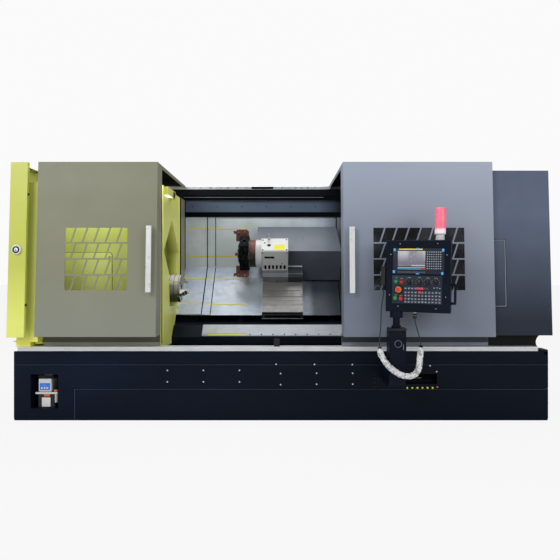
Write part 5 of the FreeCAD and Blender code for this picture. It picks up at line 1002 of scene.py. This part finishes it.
WALL_BACK, BASE_BACK = on_rear(1336), on_rear(1450)
rear = Build("back_wall_panels", "root", "back_wall_paint", wall_coat, screw_zinc, dark_trim)
for x0, x1 in ((-684, 270), (282, 1180), (1192, 2100)):
    sheet_cover(rear, WALL_BACK, (x0, x1, 600, 1880, 12), 2, high=2.6)
    rear.screws(out_by(WALL_BACK, 2.6), grid((x0 + 22, (x0 + x1) / 2, x1 - 22), (622, 1240, 1858)), 7, 4, 1)
rear = Build("base_rear_panels", "root", "base_paint", navy, screw_zinc, seam_glint_blue)
for x0, x1 in ((-2060, -1080), (-1060, -20), (0, 1040), (1060, 2060)):
    # The line round each rear panel is in the seam glint colour: a painted highlight on its edges.
    sheet_cover(rear, BASE_BACK, (x0, x1, 90, 470, 8), 2, rim=0.4)
    rear.screws(out_by(BASE_BACK, 2), grid((x0 + 25, x1 - 25), (115, 445)), 7, 4, 1)

door = Build("switch_door_fittings", "switch_door", "cabinet_paint", slate, dark_trim, grey_trim, screw_zinc, red_cap,
             panel_edge)
DOOR_BACK, DOOR_FIELD, LATCH = on_rear(1556), on_rear(1557.8), on_rear(1580)
door.panel(DOOR_BACK, (-1692, -730, 600, 1864, 26), SUNK, 1.8, 0, 0.8)
louvres(door, DOOR_FIELD, -1400, -1060, [*range(650, 850, 24), *range(1630, 1830, 24)], 1)
door.panel(DOOR_FIELD, (-1600, -1510, 1420, 1510, 8), SUNK, 2.5, 2, 0.6)
door.lathe(DOOR_FIELD, [(36, 2.2), (36, 8), (32, 10), (0, 10.5)], 5, 36, (-1555, 1465))
door.block(DOOR_FIELD, (-1563, -1547), (1437, 1493), (9.5, 26), 4, 2.0)
door.panel(LATCH, (-772, -743, 1162, 1292, 8), -0.3, 1.6, 1, 0.5)
door.lathe(LATCH, [(9, 1.2), (9, 4), (7, 5), (0, 5)], 3, 24, (-757.5, 1185))
door.screws(DOOR_BACK, grid((-1706, -716), (640, 1230, 1820)), 6, 4, 3)

gear_body = blank("gear_plastic", "#C9CBC8", 0.5)
gear = Build("switch_gear", "root", "cabinet_paint", gear_body, dark_trim, green_cap, screw_zinc)
DRIVES, CLAMPS = on_rear(1446), on_rear(1416)
for right in (-790, -995, -1200, -1405):
    gear.panel(DRIVES, (right - 147, right - 3, 1171, 1625, 5), SUNK, 4.0, 0, 0.8)
    gear.panel(DRIVES, (right - 120, right - 30, 1520, 1585, 4), 3.8, 5.2, 1, 0.4)
    gear.panel(DRIVES, (right - 84, right - 66, 1500, 1510, 2), 3.8, 5.2, 2, 0.4)
    for z in range(1230, 1470, 16):
        gear.block(DRIVES, (right - 132, right - 18), (z, z + 5), (3.8, 4.5), 1)
    gear.screws(out_by(DRIVES, 3.8), grid((right - 138, right - 12), (1182, 1614)), 4, 2.5, 3)
for k in range(38):
    left = -1596 + 20.5 * k
    gear.panel(CLAMPS, (left, left + 18, 826, 950, 2), SUNK, 7.0, 0, 0.6)
    gear.block(CLAMPS, (left + 5, left + 13), (884, 902), (6.8, 13), 1, 0.8)
for build in Build.begun:
    build.end()

# --- cords
def cord_curve(name, route, radius, finish):
    """Smooth line through given control points, with a round section."""
    curve = bpy.data.curves.new(name, "CURVE")
    curve.dimensions = "3D"
    curve.bevel_depth = radius / 1000
    curve.bevel_resolution = 4
    curve.resolution_u = 10
    curve.use_fill_caps = True
    spline = curve.splines.new("NURBS")
    spline.points.add(len(route) - 1)
    for point, spot in zip(spline.points, route):
        point.co = (*at(*spot), 1.0)
    spline.order_u = 3
    spline.use_endpoint_u = True
    curve.materials.append(finish.done())
    return add_object(name, curve)


EXIT_ROUTE = [(994, -318, 862), (994, -318, 830), (1000, -332, 794), (1008, -350, 754), (1016, -371, 712),
              (1022, -392, 678), (1020, -396, 646)]
SLEEVE_ROUTE = [(1020, -396, 646), (1017, -402, 598), (1008, -405, 548), (1006, -408, 498), (985, -410, 452),
                (943, -410, 430), (898, -408, 432), (858, -404, 448), (818, -398, 472), (782, -390, 506),
                (752, -380, 546), (730, -366, 592), (728, -356, 628)]
RISE_ROUTE = [(728, -356, 628), (726, -346, 664), (732, -328, 710), (743, -304, 766), (750, -280, 836),
              (755, -262, 912), (768, -246, 980), (780, -233, 1032), (780, -233, 1070)]
lead_coat = plastic("lead_coat", "#1A1B1E", 0.5, 0.08, "#2A2C30")
# The grey blotches on the wrap are painted shade of its folds.
wrap_coat = Finish("wrap_sheet", "#E6E7E9", 0.45).mottle("#757C85", 34, 0.47, 0.62, 0.85, distortion=2.0)
wrap_coat.mottle("#FFFFFF", 60, 0.5, 0.7, 0.6).satin(40, 0.12).bump(55, 2.0, detail=5.0).bump(190, 0.6)


def spline_line(route):
    """Points on the smooth line of a route: a curved stretch at each inner point, joined halfway between them."""
    steps = 14
    spots = [Vector(spot) for spot in route]
    joints = spots[:1] + [(a + b) / 2 for a, b in zip(spots[1:-2], spots[2:-1])] + spots[-1:]
    line = spots[:1]
    for start, pull, end in zip(joints, spots[1:-1], joints[1:]):
        for share in [k / steps for k in range(1, steps + 1)]:
            line.append(start.lerp(pull, share).lerp(pull.lerp(end, share), share))
    return line


def crinkled_wrap(name, route, radius):
    """Loose sheet wound round the lead: a closed tube whose wall is creased all round."""
    sides, crease_share = 40, 0.045
    narrow_end, widening = 0.55, 0.12           # share of the radius at the ends, and how it grows from there
    line = spline_line(route)
    side, rings = Vector((0, 1, 0)), []
    for i, (spot, ahead) in enumerate(zip(line, headings(line))):
        side = (side - ahead * side.dot(ahead)).normalized()
        up = ahead.cross(side)
        from_end = min(i, len(line) - 1 - i)
        width = radius * min(1.0, narrow_end + from_end * widening)
        ring = []
        for angle in [math.tau * k / sides for k in range(sides)]:
            crease = math.sin(5 * angle + i * 0.21) + math.sin(3 * angle - i * 0.47 + 1.3)
            crease += math.sin(9 * angle + 1.7 * math.sin(i * 0.33)) + 1.2 * math.sin(i * 0.83 + 2 * angle)
            reach = width * (1 + crease_share * crease)
            ring.append(spot + (side * math.cos(angle) + up * math.sin(angle)) * reach)
        rings.append(ring)
    wrap = Build(name, "pendant", "sleeve_fabric", wrap_coat)
    wrap.tube(rings)
    return wrap.end(), [at(*spot) for spot in line]


def line_length(line):
    """Length of a line of points."""
    return sum((b - a).length for a, b in zip(line, line[1:]))


def wrap_tie(name, route):
    """Band that ties the wrap to the lead where a route begins."""
    tie = Build(name, "pendant", "lead_rubber", dark_trim)
    ahead = headings([Vector(spot) for spot in route])[0]
    side = Vector((0, 1, 0)).cross(ahead).normalized()
    frame = basis(route[0], side, ahead.cross(side), ahead)
    tie.lathe(frame, [(3.6, -7), (13.5, -7), (14.5, -5), (14.5, 5), (13.5, 7), (3.6, 7)])
    return tie.end()


low_tie, high_tie = wrap_tie("wrap_tie_1", SLEEVE_ROUTE), wrap_tie("wrap_tie_2", RISE_ROUTE)
for name, route, far_end, ties in (
        ("lead_exit", EXIT_ROUTE, "fitting", [low_tie]),
        ("lead_rise", RISE_ROUTE, "object", [])):
    cord = cord_curve(name + "_cord", route, 4.0, lead_coat)
    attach(cord, "pendant")
    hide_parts(name)
    measured = line_length([at(*spot) for spot in spline_line(route)])
sleeve, sleeve_line = crinkled_wrap("lead_sleeve_wrap", SLEEVE_ROUTE, 21.0)
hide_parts("lead_sleeve")


# --- camera, light and floor
camera = add_object("camera", bpy.data.cameras.new("camera"))
PICTURE = 560               # side of the picture in pixels, which is the focal length too
camera.data.sensor_width = camera.data.lens = 36.0
camera.data.shift_x, camera.data.shift_y = -1 / PICTURE, -10 / PICTURE
camera.location = (0, -5.0485, 1.204)
camera.rotation_euler = (math.radians(90), 0, 0)
bpy.context.scene.camera = camera


def soft_lamp(name, spot, aim, size, power):
    """Large area light that looks at a point."""
    lamp = bpy.data.lights.new(name, "AREA")
    lamp.shape = "RECTANGLE"
    lamp.size, lamp.size_y = size
    lamp.energy = power
    holder = add_object(name, lamp)
    holder.location = spot
    holder.rotation_euler = (Vector(aim) - Vector(spot)).to_track_quat("-Z", "Y").to_euler()
    return holder


soft_lamp("key", (-4.5, -6.5, 5.0), (0, 0, 1.0), (4.0, 3.0), 215)
soft_lamp("fill", (5.0, -6.0, 3.2), (0, 0, 1.0), (4.0, 3.0), 110)
soft_lamp("top", (0, 0.6, 5.5), (0, 0.2, 0.8), (4.5, 2.4), 110)
for name, spot, width, power, tilt in (
        ("left hood", at(-1450, 10, 1990), 0.8, 7, 9),
        ("right hood", at(1080, 10, 1990), 0.7, 4, 20)):
    soft_lamp(name, spot, (spot.x, spot.y + 1, spot.z), (width, 0.06), power).rotation_euler = (
        math.radians(tilt), 0, 0)

world = bpy.data.worlds.new("studio")
bpy.context.scene.world = world
world.use_nodes = True
sky = world.node_tree
plain = sky.nodes["Background"]
plain.inputs["Color"].default_value = (1, 1, 1, 1)
seen = sky.nodes.new("ShaderNodeLightPath")
level = sky.nodes.new("ShaderNodeMapRange")
level.inputs["To Min"].default_value = 0.34        # what the sky lights with
level.inputs["To Max"].default_value = 0.96        # what the camera sees of it
sky.links.new(seen.outputs["Is Camera Ray"], level.inputs["Value"])
sky.links.new(level.outputs["Result"], plain.inputs["Strength"])


def studio_floor():
    """Plain pale floor that also shows nearly white where the light doesn't reach."""
    mesh = bpy.data.meshes.new("floor")
    reach = 40.0
    corners = [(-reach, -reach, 0), (reach, -reach, 0), (reach, reach, 0), (-reach, reach, 0)]
    mesh.from_pydata(corners, [], [(0, 1, 2, 3)])
    pale = Finish("floor_paint", "#F5F5F5", 0.8).mottle("#F1F1F1", 0.8, 0.4, 0.7, 0.5)
    mesh.materials.append(pale.done())
    glow = pale.node("Emission", {"Color": (0.95, 0.95, 0.95, 1), "Strength": 1.0})
    seen = pale.node("LightPath").outputs["Is Camera Ray"]
    pale.shows(pale.math("MULTIPLY", seen, 0.94), pale.shader.outputs[0], glow.outputs[0])
    add_object("floor", mesh)


studio_floor()
bpy.context.scene.view_settings.view_transform = "Standard"
